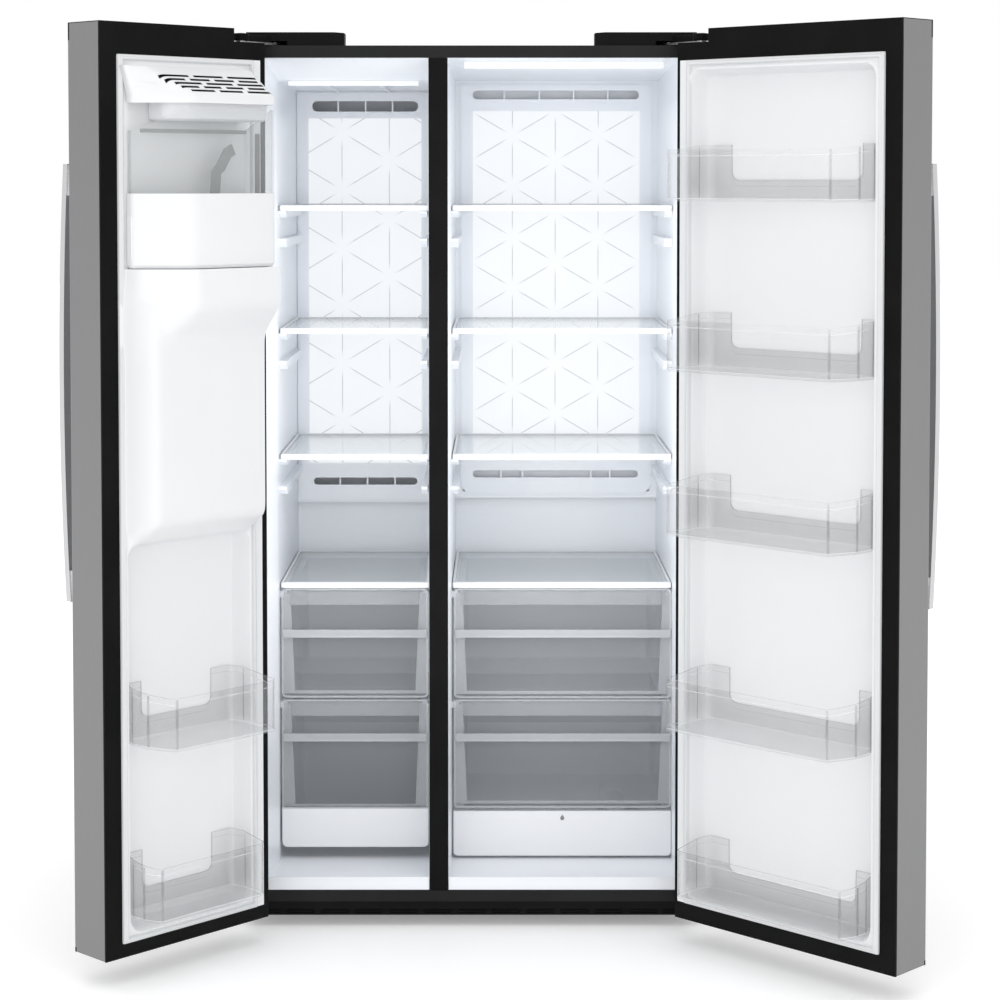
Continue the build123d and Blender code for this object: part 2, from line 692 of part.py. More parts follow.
def ice_hood():
    """Louvred hood that closes the top of the ice compartment."""
    profile = [(0.1, 1619), (105, 1619), (105, 1634), (26, 1686), (0.1, 1686)]
    inner = [(-1, 1618), (102.6, 1618), (102.6, 1632.5), (25.3, 1683.5), (-1, 1683.5)]
    body = u_profile(profile, 40, 345) & u_prism(ice_outline(), 1600, 1700)
    body -= u_profile(inner, 40, 345) & u_prism(ice_outline(2.4), 1600, 1700)
    for row in range(5):
        v = 48 + 10.5 * row
        z = 1687 - (v - 26) * 0.671
        end = 306 - 10.5 * row
        count = 3 + row % 2
        pitch = (end - 68) / count
        for index in range(count):
            start = 66 + pitch * index + (row % 2) * 6
            body -= u_block((start, start + pitch - 11), (v, v + 5.6), (z - 14, z + 12))
    return body


def ice_bucket():
    """Bucket with a clear upper front, and the wire agitator inside it."""
    shell = u_prism(ice_outline(), 1319, 1610)
    shell -= u_prism(ice_outline(3), 1323, 1611)
    shell -= u_block((40, 345), (-1, 101.5), (1584, 1612)) & u_prism(
        [(40, -1), (40, 101.5), (256, 101.5), (330, 27), (330, -1)], 1584, 1612)
    shell = shell & u_block((0, 400), (0.3, 110), (1300, 1700))
    shell -= u_block((329, 345), (6, 20), (1332, 1412))
    drum = rod("y", (196 - HALF, 1372), 34, 14, 84)
    blade = u_block((190, 202), (30, 42), (1400, 1500))
    arm = u_block((160, 196), (30, 42), (1496, 1510))
    foot = u_block((176, 216), (30, 90), (1323, 1345))
    return [shell, Pos(0, -DOOR_GAP, 0) * drum + blade + arm + foot]


def dispenser_opening():
    """Cut through the outer skin for the dispenser."""
    return u_block((92, 296), (-120, -60), (905, 1332))


def dispenser_housing():
    """Moulded recess in the door's face with its outlet nozzle."""
    outer = u_block((92.3, 295.7), (-DOOR_THICK - 1.5, -14), (905.3, 1248))
    cavity = u_profile(
        [(-120, 918), (-30, 918), (-17, 950), (-17, 1150), (-60, 1240), (-120, 1240)], 98, 290)
    body = outer - cavity
    body += rod("z", (194 - HALF, -72), 22, 1196, 1246)
    body -= rod("z", (194 - HALF, -72), 16, 1190, 1260)
    for u in (148, 236):
        body += u_block((u, u + 4), (-44, -24), (1150, 1182))
        body += u_block((u, u + 4), (-30, -14), (1140, 1190))
    return body - rod("x", (-46, 1166), 3 + RUN, 140 - HALF, 250 - HALF)


def dispenser_panel():
    """Control panel above the dispenser recess."""
    panel = u_block((92.3, 295.7), (-DOOR_THICK - 1.5, -92), (1248.2, 1331.7))
    return fillet(panel.edges().filter_by(Axis.Y), 4)


def dispenser_paddle():
    """Sprung paddle that a glass pushes back."""
    arm = u_block((153, 235), (-38.5, -35.5), (1060, 1164))
    arm = fillet(arm.edges().filter_by(Axis.Y).group_by(Axis.Z)[0], 18)
    return arm + rod("x", (-46, 1166), 3, 147 - HALF, 241 - HALF)


def drip_tray():
    """Lift-out tray and grille at the foot of the recess."""
    tray = u_block((100, 288), (-98, -34), (918.6, 928))
    for index in range(11):
        u = 110 + 15.4 * index
        tray -= u_block((u, u + 9), (-92, -40), (921, 929))
    return tray


def export_cabinet():
    save("case_wrapper", case_wrapper())
    save("back_panel", back_panel())
    save("case_foam", case_foam())
    save("freezer_liner", freezer_liner())
    save("fridge_liner", fridge_liner())
    save("centre_mullion", centre_mullion())
    save("base_chassis", base_chassis())
    save("toe_grille", toe_grille())
    save("door_hinges", *door_hinges())
    save("hinge_covers", *hinge_covers())
    save("fridge_duct_cover", fridge_duct_cover())
    save("evaporator_cover", evaporator_cover())
    save("interior_lights", *interior_lights())
    save("evaporator_coil", *finned_coil((-360, -130), (604, 644), (900, 1400), 24, 8))
    save("compressor", compressor())
    save("condenser_coil", *finned_coil((-330, -140), (540, 690), (60, 230), 16, 5))
    save("water_valve", water_valve())
    save("water_filter", *water_filter())
    save("power_inlet", power_inlet())
    save("filter_cover", filter_cover())
    save("levelling_feet", *levelling_feet())
    save("rear_rollers", rear_rollers())
    save("evaporator_fan", fan("y", (-240, 1580), 614, 46, 14, 14, 3 + RUN))
    save("condenser_fan", fan("x", (610, 130), -40, 68, 20, 22, 4 + RUN))


def export_shelves():
    for index, top in enumerate(SHELF_TOPS, start=1):
        save("fridge_shelf_%d" % index, *fridge_shelf(top))
        save("freezer_shelf_%d" % index, *freezer_shelf(top))
    save("crisper_covers", *fridge_shelf(COVER_TOP, 574), *freezer_shelf(COVER_TOP, 574))
    save("fridge_drawer_upper", fridge_drawer(SHELF_BACK, 425, 650, 551))
    save("fridge_drawer_lower", fridge_drawer(DRAWER_BACK_LOW, 199, 422, 338))
    save("freezer_drawer_upper", freezer_drawer(SHELF_BACK, 426, 650, 551))
    save("freezer_drawer_lower", freezer_drawer(DRAWER_BACK_LOW, 119, 422, 338))


def export_freezer_door():
    side = "left"
    save("freezer_door_skin", hang(door_skin(FREEZER_DOOR) - dispenser_opening(), side))
    save("freezer_door_frame", hang(door_frame(FREEZER_DOOR, FREEZER_LINER), side))
    save("freezer_door_liner", hang(freezer_door_liner(), side))
    save("freezer_door_gasket", hang(gasket(FREEZER_LINER), side))
    save("freezer_door_handle", hang(handle(FREEZER_DOOR), side))
    save("icemaker", hang(icemaker(), side))
    save("ice_hood", hang(ice_hood(), side))
    save("ice_bucket", *[hang(piece, side) for piece in ice_bucket()])
    save("dispenser_housing", hang(dispenser_housing(), side))
    save("dispenser_panel", hang(dispenser_panel(), side))
    save("dispenser_paddle", hang(dispenser_paddle(), side))
    save("drip_tray", hang(drip_tray(), side))
    save("freezer_bin_upper", hang(door_bin(328, 102, 441, 549, 58), side))
    save("freezer_bin_lower", hang(door_bin(328, 68, 120, 232, 58), side))


def export_fridge_door():
    side = "right"
    save("fridge_door_skin", hang(door_skin(FRIDGE_DOOR), side))
    save("fridge_door_frame", hang(door_frame(FRIDGE_DOOR, FRIDGE_LINER), side))
    save("fridge_door_liner", hang(fridge_door_liner(), side))
    save("fridge_door_gasket", hang(gasket(FRIDGE_LINER), side))
    save("fridge_door_handle", hang(handle(FRIDGE_DOOR), side))
    for index, (low, top) in enumerate(FRIDGE_BINS, start=1):
        save("fridge_bin_%d" % index, hang(door_bin(457, 104, low, top), side))
    save("fridge_bin_5", hang(door_bin(452, 68, 114, 216), side))


os.makedirs("parts", exist_ok=True)
export_cabinet()
export_shelves()
export_freezer_door()
export_fridge_door()
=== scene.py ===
# %% [markdown]
# # A side by side refrigerator, standing open
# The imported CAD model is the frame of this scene: every node is already in place, in metres, with
# +X across the front, +Y back into the cabinet and +Z up. Blender adds what the frame lacks: soft
# edges, clear plastic, glass, lit panels and brushed steel.

# %% Load the frame
import json
from math import cos, pi, radians, sin
import bpy
import bmesh
import numpy as np
from mathutils import Matrix, Vector


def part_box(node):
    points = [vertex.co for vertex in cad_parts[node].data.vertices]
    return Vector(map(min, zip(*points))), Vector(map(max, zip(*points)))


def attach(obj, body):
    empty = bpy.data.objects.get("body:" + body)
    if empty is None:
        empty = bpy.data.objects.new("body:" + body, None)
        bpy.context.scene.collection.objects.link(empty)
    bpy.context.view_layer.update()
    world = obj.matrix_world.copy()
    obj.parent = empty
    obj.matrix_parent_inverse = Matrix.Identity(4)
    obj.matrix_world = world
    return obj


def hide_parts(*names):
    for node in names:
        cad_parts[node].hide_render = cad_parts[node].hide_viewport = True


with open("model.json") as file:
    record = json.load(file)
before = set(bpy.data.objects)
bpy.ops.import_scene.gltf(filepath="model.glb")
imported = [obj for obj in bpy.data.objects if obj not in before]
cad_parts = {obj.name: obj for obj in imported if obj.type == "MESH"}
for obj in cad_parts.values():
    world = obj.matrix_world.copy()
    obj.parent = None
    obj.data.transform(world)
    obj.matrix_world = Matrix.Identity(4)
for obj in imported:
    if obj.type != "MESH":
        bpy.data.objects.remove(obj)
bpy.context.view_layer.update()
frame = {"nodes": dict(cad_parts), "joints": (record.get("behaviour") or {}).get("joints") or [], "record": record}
nodes = frame["nodes"]
joints = {joint["child"]: joint for joint in frame["joints"]}

# %% [markdown]
# ## Shader maths as plain Python
# A material is a small net of nodes. Wiring each Math node by hand hides the idea, so `Wire` wraps
# one output socket and gives it the usual operators: `1 - mask * 0.5` then adds its own Math nodes.
# Colours never go through a Math node, which would turn them grey; they are mixed with Mix.

# %% The wire class
class Wire:
    """One output socket that can be used in sums."""

    def __init__(self, tree, socket):
        self.tree = tree
        self.socket = socket

    def maths(self, operation, *values):
        return add_node(self.tree, "ShaderNodeMath", {"operation": operation}, dict(enumerate(values)))

    def __add__(self, other):
        return self.maths("ADD", self, other)

    __radd__ = __add__

    def __sub__(self, other):
        return self.maths("SUBTRACT", self, other)

    def __rsub__(self, other):
        return self.maths("SUBTRACT", other, self)

    def __mul__(self, other):
        return self.maths("MULTIPLY", self, other)

    __rmul__ = __mul__

    def __truediv__(self, other):
        return self.maths("DIVIDE", self, other)

    def __pow__(self, other):
        return self.maths("POWER", self, other)

    def between(self, low, high):
        """0 at low and under, 1 at high and over, smooth in between."""
        settings = {"interpolation_type": "SMOOTHSTEP"}
        sockets = {"Value": self, "From Min": low, "From Max": high}
        return add_node(self.tree, "ShaderNodeMapRange", settings, sockets)

    def larger(self, other):
        return self.maths("MAXIMUM", self, other)


def plug(tree, socket, value):
    """Put a number, a colour or a wire into a socket."""
    if isinstance(value, Wire):
        tree.links.new(value.socket, socket)
    else:
        socket.default_value = value


def add_node(tree, kind, settings=None, sockets=None, out=0):
    """Add a node: its settings first, then its sockets, and hand back one output as a wire."""
    node = tree.nodes.new(kind)
    for name, value in (settings or {}).items():
        if name == "stops":
            for stop, (place, colour) in zip(node.color_ramp.elements, value):
                stop.position = place
                stop.color = colour
        else:
            setattr(node, name, value)
    for key, value in (sockets or {}).items():
        plug(tree, node.inputs[key], value)
    return Wire(tree, node.outputs[out])


# %% [markdown]
# `Finish` is one material. It keeps the Principled shader at hand, gives the place on the object as
# numbers (`x`, `y`, `z`), and has a method for the fine relief that every real surface has.

# %% The finish class
class Finish:
    """A material with its Principled shader and a few ready inputs."""

    def __init__(self, name, **constants):
        self.material = bpy.data.materials.new(name)
        self.material.use_nodes = True
        self.tree = self.material.node_tree
        self.shader = self.tree.nodes["Principled BSDF"]
        self.set(**constants)
        self.place = self.node("ShaderNodeTexCoord", out="Object")

    def set(self, **values):
        for name, value in values.items():
            plug(self.tree, self.shader.inputs[name.replace("_", " ")], value)

    def node(self, kind, settings=None, out=0, **sockets):
        named = {name.replace("_", " "): value for name, value in sockets.items()}
        return add_node(self.tree, kind, settings, named, out)

    def axes(self):
        """x, y and z of the point being shaded, in metres."""
        return [self.node("ShaderNodeSeparateXYZ", out=index, Vector=self.place) for index in range(3)]

    def stretched(self, *scale):
        return self.node("ShaderNodeMapping", Vector=self.place, Scale=scale)

    def noise(self, scale, detail=3.0, place=None):
        return self.node("ShaderNodeTexNoise", Vector=place or self.place, Scale=scale, Detail=detail)

    def mix(self, factor, first, second):
        """One colour turning into another as factor goes from 0 to 1."""
        node = self.tree.nodes.new("ShaderNodeMix")
        node.data_type = "RGBA"
        plug(self.tree, node.inputs[0], factor)
        plug(self.tree, node.inputs[6], first)
        plug(self.tree, node.inputs[7], second)
        return Wire(self.tree, node.outputs[2])

    def relief(self, height, strength, distance=0.001):
        normal = self.node("ShaderNodeBump", Height=height, Strength=strength, Distance=distance)
        self.set(Normal=normal)


def paint(finish, *names):
    """Give CAD nodes a finish; their shapes stay as they are."""
    for name in names:
        slots = nodes[name].data.materials
        slots.clear()
        slots.append(finish.material)


# %% [markdown]
# ## White plastic
# The liners are vacuum formed from one sheet of white styrene: satin, faintly blue, with a very fine
# orange peel and slow changes in gloss where the sheet was drawn deeper. Two noises at two scales
# give just that; a flat white would look like paper.

# %% White plastics
def white_plastic(name, colour, shade, rough, peel=0.12):
    finish = Finish(name)
    slow = finish.noise(3.0, 2.0)
    fine = finish.noise(900.0, 2.0)
    finish.set(
        Base_Color=finish.mix(slow.between(0.35, 0.7), shade, colour),
        Roughness=slow * 0.12 + (rough - 0.06),
    )
    finish.relief(fine, peel, 0.0004)
    return finish


liner_white = white_plastic("liner_white", (0.885, 0.905, 0.94, 1), (0.865, 0.89, 0.93, 1), 0.34)
door_white = white_plastic("door_white", (0.80, 0.808, 0.82, 1), (0.78, 0.79, 0.805, 1), 0.34)
trim_white = white_plastic("trim_white", (0.82, 0.83, 0.845, 1), (0.80, 0.81, 0.83, 1), 0.3, 0.06)
seal_white = white_plastic("seal_white", (0.72, 0.73, 0.74, 1), (0.69, 0.70, 0.71, 1), 0.6)
paint(liner_white, "freezer_liner", "fridge_liner", "fridge_duct_cover", "evaporator_cover", "water_filter")
print("white finishes done")

# %% [markdown]
# ## The lit back panels
# Behind each shelf space stands a glowing panel moulded with a lattice of stars. The lines follow a
# net of triangles and fade out near each star's centre. Counting cells across (`a`) and up (`b`),
# the three families of lines are where a, b - a/2 and b + a/2 are whole numbers, so three distances
# and three fades draw it at any size, with no image.

# %% Lattice lines
def lattice(x, z, column, star, gap, pitch, width=0.0014):
    """Mask of the star lattice: 1 on a line, 0 beside it and near the stars."""
    across = (x - column) / gap
    up = (z - star) / pitch
    rising = up - across * 0.5
    falling = up + across * 0.5

    def off_whole(value):
        return value.maths("PINGPONG", value, 0.5)

    def line(value, spacing, along):
        near = 1 - (off_whole(value) * spacing).between(width * 0.4, width)
        return near * off_whole(along).between(0.08, 0.30)

    slant = pitch * cos(radians(30))
    lines = line(across, gap, rising)
    lines = lines.larger(line(rising, slant, across))
    return lines.larger(line(falling, slant, across))


panel_glow = Finish("panel_glow", Roughness=0.3, Emission_Strength=0.66)
px, _, pz = panel_glow.axes()
fridge_lines = lattice(px, pz, 0.177, 1.5215, 0.094, 0.111)
freezer_lines = lattice(px, pz, -0.291, 1.585, 0.104, 0.127)
on_fridge = px.between(-0.066, -0.064)
on_panel = 1 - pz.between(1.66, 1.664)
lines = (fridge_lines * on_fridge + freezer_lines * (1 - on_fridge)) * on_panel
glow_colour = panel_glow.mix(lines, (0.96, 0.98, 1.0, 1), (0.58, 0.59, 0.62, 1))
panel_glow.set(
    Base_Color=panel_glow.mix(lines, (0.30, 0.31, 0.32, 1), (0.21, 0.21, 0.22, 1)),
    Emission_Color=glow_colour,
)
panel_glow.relief(lines * -1.0, 0.35, 0.0006)
paint(panel_glow, "interior_lights")
print("lattice ready")

# %% [markdown]
# ## Steel, black paint and bare metal
# Brushed steel is metal whose fine scratches all run one way. A noise stretched about ninetyfold along
# the height gives the scratches, and it drives both the roughness and a faint bump. The black case is
# painted sheet with a light orange peel; the back is zinc coated, whose crystals show as flat
# patches, which is what a Voronoi pattern draws.

# %% Metals and paints
def brushed(name, colour, dark, rough, along):
    finish = Finish(name, Metallic=1.0)
    grain = finish.noise(1.0, 4.0, finish.stretched(*along))
    broad = finish.noise(4.0, 2.0)
    finish.set(
        Base_Color=finish.mix(grain.between(0.3, 0.7), dark, colour),
        Roughness=grain * 0.12 + broad * 0.06 + (rough - 0.09),
    )
    finish.relief(grain, 0.05, 0.0003)
    return finish


def satin(name, colour, worn, rough, scale=500.0, bump=0.15, metallic=0.0, shine=0.5):
    finish = Finish(name, Metallic=metallic, Specular_IOR_Level=shine)
    slow = finish.noise(9.0, 4.0)
    fine = finish.noise(scale, 2.0)
    finish.set(
        Base_Color=finish.mix(slow.between(0.35, 0.75), colour, worn),
        Roughness=slow * 0.16 + (rough - 0.08),
    )
    finish.relief(fine, bump, 0.0006)
    return finish


door_steel = brushed("door_steel", (0.27, 0.27, 0.275, 1), (0.248, 0.248, 0.252, 1), 0.4, (2600, 2600, 30))
handle_steel = brushed("handle_steel", (0.62, 0.62, 0.63, 1), (0.56, 0.56, 0.57, 1), 0.24, (1400, 1400, 12))
hinge_steel = brushed("hinge_steel", (0.5, 0.5, 0.51, 1), (0.42, 0.42, 0.43, 1), 0.32, (900, 40, 900))
case_black = satin("case_black", (0.007, 0.007, 0.0073, 1), (0.011, 0.011, 0.0115, 1), 0.4, shine=0.18)
frame_black = satin("frame_black", (0.003, 0.003, 0.0032, 1), (0.005, 0.005, 0.0053, 1), 0.5, 1400.0, 0.3,
                    shine=0.09)
grey_plastic = satin("grey_plastic", (0.2, 0.205, 0.21, 1), (0.25, 0.255, 0.26, 1), 0.45)
rubber = satin("rubber", (0.02, 0.02, 0.02, 1), (0.035, 0.035, 0.035, 1), 0.75)
valve_white = satin("valve_white", (0.72, 0.71, 0.66, 1), (0.64, 0.63, 0.58, 1), 0.5)
foam = satin("foam", (0.75, 0.66, 0.42, 1), (0.62, 0.53, 0.32, 1), 0.9, 120.0, 0.8)
coil_metal = satin("coil_metal", (0.7, 0.7, 0.71, 1), (0.55, 0.55, 0.56, 1), 0.35, 300.0, 0.2, 1.0)
compressor_black = satin("compressor_black", (0.01, 0.01, 0.01, 1), (0.03, 0.03, 0.03, 1), 0.35)
panel_black = satin("panel_black", (0.006, 0.006, 0.007, 1), (0.01, 0.01, 0.011, 1), 0.12, 300.0, 0.02)

zinc = Finish("zinc", Metallic=1.0)
flakes = zinc.node("ShaderNodeTexVoronoi", {"feature": "F1"}, out="Color", Vector=zinc.place, Scale=60.0)
flake = zinc.node("ShaderNodeSeparateColor", Color=flakes)
zinc.set(
    Base_Color=zinc.mix(flake, (0.42, 0.43, 0.44, 1), (0.56, 0.57, 0.58, 1)),
    Roughness=flake * 0.18 + 0.34,
)
zinc.relief(zinc.noise(25.0), 0.1, 0.002)

paint(case_black, "case_wrapper", "base_chassis")
paint(frame_black, "centre_mullion", "freezer_door_frame", "fridge_door_frame", "hinge_covers", "toe_grille",
      "dispenser_housing", "evaporator_fan", "condenser_fan")
paint(zinc, "back_panel")
paint(foam, "case_foam")
paint(hinge_steel, "door_hinges")
paint(coil_metal, "evaporator_coil", "condenser_coil")
paint(compressor_black, "compressor")
paint(valve_white, "water_valve")
paint(rubber, "power_inlet")
paint(grey_plastic, "levelling_feet", "rear_rollers", "dispenser_paddle", "drip_tray")
paint(door_steel, "freezer_door_skin", "fridge_door_skin")
paint(handle_steel, "freezer_door_handle", "fridge_door_handle")
paint(panel_black, "dispenser_panel")
print("metals and paints done")

# %% [markdown]
# ## Clear plastic and glass
# A thin clear wall seen square on hides almost nothing, and seen along its length it turns grey and
# solid. Layer Weight gives exactly that number, so it drives Alpha: low when facing, high at the
# edges. This stays clean at few samples, where true refraction through ten walls would be noise.

# %% Clear finishes
def clear(name, colour, facing, edge, rough=0.06, power=2.0):
    finish = Finish(name, Base_Color=colour, Roughness=rough, IOR=1.5)
    tilt = finish.node("ShaderNodeLayerWeight", out="Facing", Blend=0.5)
    cloud = finish.noise(14.0, 2.0)
    finish.set(Alpha=(tilt ** power) * (edge - facing) + facing + cloud * 0.02)
    return finish


clear_bin = clear("clear_bin", (0.66, 0.675, 0.69, 1), 0.04, 0.6, power=3.0)
# The darker grey edge finish is painted shade: it stands for the grey lines that the rims, corners and edges of
# clear plastic show.
clear_edge_shade = clear("clear_edge_shade", (0.34, 0.35, 0.365, 1), 0.42, 0.75)
# The near-white clear finish is a painted highlight: it draws the white lines that light leaves along the bin
# walls.
clear_painted_highlight = clear("clear_painted_highlight", (0.96, 0.97, 0.98, 1), 0.6, 0.8)
window_clear = clear("window_clear", (0.62, 0.65, 0.66, 1), 0.12, 0.6, power=3.0)
smoked = clear("smoked", (0.60, 0.63, 0.67, 1), 0.095, 0.6, power=3.0)
smoked_light = clear("smoked_light", (0.66, 0.68, 0.70, 1), 0.38, 0.75)
# The lighter smoked finish for the band at the top of each drawer front is painted light: the top of a drawer is
# lit more.
smoked_painted_light = clear("smoked_painted_light", (0.72, 0.74, 0.77, 1), 0.24, 0.5)
pane_glass = clear("pane_glass", (0.80, 0.85, 0.88, 1), 0.10, 0.5, 0.03)
print("clear finishes done")

# %% [markdown]
# ## Working on a closed door
# Both doors stand open at odd angles, so a bin on one would be awkward to model in place. The hinge
# joint in the record holds the pin and the angle that closes the door. From those comes a matrix that
# takes (u, v, z) - along the door from its hinge edge, inward from its inner face, and up - to the
# open pose. For the right door it also mirrors, so one recipe serves both.

# %% Door matrices
CASE_WIDTH = 2 * max(abs(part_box("case_wrapper")[0][0]), abs(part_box("case_wrapper")[1][0]))
HALF = CASE_WIDTH / 2
DOOR_GAP = 0.010


def door_matrix(body):
    """(u, v, z) of a closed door to the row frame with the door open."""
    joint = joints[body]
    pin = Vector(joint["pos_m"])
    mirror = 1 if pin.x < 0 else -1
    turn = -radians(joint["range_deg"][0]) * joint["axis"][2]
    swing = Matrix.Translation(pin) @ Matrix.Rotation(turn, 4, "Z") @ Matrix.Translation(-pin)
    closed = Matrix.Diagonal((mirror, 1, 1, 1)) @ Matrix.Translation((-HALF, -DOOR_GAP, 0))
    return swing @ closed


DOORS = {"freezer_door": door_matrix("freezer_door"), "fridge_door": door_matrix("fridge_door")}


def on_door(body, node):
    """Low and high (u, v, z) of a CAD node, measured on its closed door."""
    back = DOORS[body].inverted()
    points = [back @ vertex.co for vertex in nodes[node].data.vertices]
    return [Vector([pick(p[i] for p in points) for i in range(3)]) for pick in (min, max)]


for name in ("fridge_bin_1", "fridge_bin_5"):
    print(name, [tuple(round(c, 4) for c in corner) for corner in on_door("fridge_door", name)])

# %% [markdown]
# ## Moulded tubs
# Bins, drawers and the ice bucket are the same kind of thing: one wall of even thickness that follows
# an outline, with a floor. The outline gets round corners, and then rings of it are stacked: up the
# outside, over the rim and down the inside. Bridging neighbouring rings with quads keeps every wall
# clean, which a boolean would not.

# %% Outline helpers
def turned_ccw(points):
    """The outline in counter-clockwise order."""
    twice = sum(p.x * q.y - q.x * p.y for p, q in zip(points, points[1:] + points[:1]))
    return points if twice > 0 else points[::-1]


def rectangle(x0, x1, z0, z1):
    """The four corners of a rectangle, counter-clockwise from the low left."""
    return [Vector(p) for p in ((x0, z0), (x1, z0), (x1, z1), (x0, z1))]


def rounded(outline, radius, steps=5):
    """The outline, counter-clockwise, its corners turned into arcs. radius is a number or one per corner."""
    points = []
    count = len(outline)
    radii = radius if isinstance(radius, (list, tuple)) else [radius] * count
    for index, corner in enumerate(outline):
        here = Vector(corner)
        before = Vector(outline[index - 1]) - here
        after = Vector(outline[(index + 1) % count]) - here
        reach = min(radii[index], before.length * 0.45, after.length * 0.45)
        if reach < 1e-5:
            points.append(here)
            continue
        start = here + before.normalized() * reach
        end = here + after.normalized() * reach
        for step in range(steps + 1):
            t = step / steps
            points.append(start * (1 - t) ** 2 + here * (2 * t * (1 - t)) + end * t ** 2)
    return turned_ccw(points)


def inset(points, amount):
    """The outline moved inward by amount; it runs counter-clockwise."""
    moved = []
    count = len(points)
    for index, here in enumerate(points):
        along = (points[(index + 1) % count] - points[index - 1]).normalized()
        moved.append(here + Vector((-along.y, along.x)) * amount)
    return moved


# %% Mesh helpers
def bridge(mesh, low, high):
    """Quads between two rings of the same length."""
    count = len(low)
    faces = []
    for index in range(count):
        after = (index + 1) % count
        faces.append(mesh.faces.new((low[index], low[after], high[after], high[index])))
    return faces


def ring(mesh, points, height):
    """A ring of vertices; height is a number or a function of the point."""
    if not callable(height):
        level = height
        height = lambda p: level
    return [mesh.verts.new((p.x, p.y, height(p))) for p in points]


def loft(mesh, rings, closed=False):
    """A skin over a row of rings: back to the first ring if closed, or else with a flat face at each end."""
    for first, second in zip(rings, rings[1:] + rings[:1] if closed else rings[1:]):
        bridge(mesh, first, second)
    if not closed:
        mesh.faces.new(rings[0][::-1])
        mesh.faces.new(rings[-1])


def four_sided(mesh, plan, levels, index=0):
    """A closed block over a plan of four corners, between two heights."""
    corners = [mesh.verts.new((x, y, z)) for z in levels for x, y in plan]
    for quad in ((0, 3, 2, 1), (4, 5, 6, 7), (0, 1, 5, 4), (1, 2, 6, 5), (2, 3, 7, 6), (3, 0, 4, 7)):
        mesh.faces.new([corners[i] for i in quad]).material_index = index


def slab(mesh, x, y, z, index=0):
    """A plain block inside a bigger moulding."""
    four_sided(mesh, ((x[0], y[0]), (x[1], y[0]), (x[1], y[1]), (x[0], y[1])), z, index)


def upright(mesh, points, y):
    """A ring standing in the XZ plane at the depth y."""
    return [mesh.verts.new((p.x, y, p.y)) for p in points]


def standing_prism(mesh, points, y_front, y_back, index=0):
    """A flat upright piece with square edges."""
    points = turned_ccw(points)
    front, back = upright(mesh, points, y_front), upright(mesh, points, y_back)
    for face in bridge(mesh, front, back) + [mesh.faces.new(front), mesh.faces.new(back[::-1])]:
        face.material_index = index


def finish_piece(name, mesh, finishes, body, stands_for=(), matrix=None, bevel=0.0, segments=2,
                 flat=False):
    """Turn a bmesh into a piece that rides on its body."""
    if matrix is not None:
        bmesh.ops.transform(mesh, matrix=matrix, verts=mesh.verts)
    bmesh.ops.recalc_face_normals(mesh, faces=mesh.faces)
    data = bpy.data.meshes.new(name)
    mesh.to_mesh(data)
    mesh.free()
    piece = bpy.data.objects.new(name, data)
    bpy.context.scene.collection.objects.link(piece)
    for finish in finishes:
        data.materials.append(finish.material)
    if not flat:
        data.shade_smooth()
        data.set_sharp_from_angle(angle=radians(32))
    if bevel:
        soften(piece, bevel, segments)
    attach(piece, body)
    if stands_for:
        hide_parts(*stands_for)
    return piece


def soften(piece, width, segments=2, angle=40):
    """Round the edges that are sharper than angle, as a mould or a press does."""
    bevel = piece.modifiers.new("soft_edges", "BEVEL")
    bevel.width = width
    bevel.segments = segments
    bevel.limit_method = "ANGLE"
    bevel.angle_limit = radians(angle)
    bevel.harden_normals = True
    return bevel


def tub(mesh, outline, low, top, wall, floor, rim=0.0, rim_tall=0.012, foot=0.003, edge_slot=1):
    """A walled tray. top is a number or a function of (u, v); rim is how far the top band stands out."""
    outline = turned_ccw(outline)
    top_at = top if callable(top) else (lambda p: top)
    under = lambda p: max(top_at(p) - rim_tall, low + foot + 0.001)
    rings = [
        ring(mesh, inset(outline, rim + foot * 0.7), low),
        ring(mesh, inset(outline, rim), low + foot),
    ]
    if rim:
        rings.append(ring(mesh, inset(outline, rim), lambda p: under(p) - 0.0008))
        rings.append(ring(mesh, outline, under))
    rings.append(ring(mesh, outline, top_at))
    outside = len(rings)
    rings += [
        ring(mesh, inset(outline, wall), top_at),
        ring(mesh, inset(outline, wall + rim), low + floor + foot),
        ring(mesh, inset(outline, wall + rim + foot * 0.7), low + floor),
    ]
    for index, (first, second) in enumerate(zip(rings, rings[1:])):
        faces = bridge(mesh, first, second)
        if index == outside - 1:
            for face in faces:
                face.material_index = edge_slot
    mesh.faces.new(rings[0][::-1])
    mesh.faces.new(rings[-1])
    return mesh


print("tub helper ready")

# %% [markdown]
# ## Door liners
# A door liner is one sheet sucked over a mould, so every edge on it is a soft blend. That is easiest
# to build as a height map: for each point (u, z) a function says how far the sheet stands out, the map
# is blurred as the stretched plastic blurs the mould, and a grid of quads follows it.

# %% Height map helpers
def blurred(field, radius):
    """The height map after a bell-shaped blur; radius is in grid cells."""
    reach = int(3 * radius)
    bell = np.exp(-0.5 * (np.arange(-reach, reach + 1) / radius) ** 2)
    bell /= bell.sum()
    for axis in (0, 1):
        padding = [(reach, reach) if a == axis else (0, 0) for a in (0, 1)]
        padded = np.pad(field, padding, mode="edge")
        field = sum(w * np.take(padded, range(i, i + field.shape[axis]), axis) for i, w in enumerate(bell))
    return field


def ramp(values, start, end):
    return np.clip((values - start) / (end - start), 0, 1)


def inside_frame(u, z, box, radius):
    """How far each point lies inside a round-cornered frame."""
    u0, u1, z0, z1 = box
    du = np.abs(u - (u0 + u1) / 2) - (u1 - u0) / 2 + radius
    dz = np.abs(z - (z0 + z1) / 2) - (z1 - z0) / 2 + radius
    outside = np.hypot(np.maximum(du, 0), np.maximum(dz, 0))
    return radius - outside - np.minimum(np.maximum(du, dz), 0)


CELL = 0.003
PAN_DEPTH = 0.038
FLANGE = 0.0016


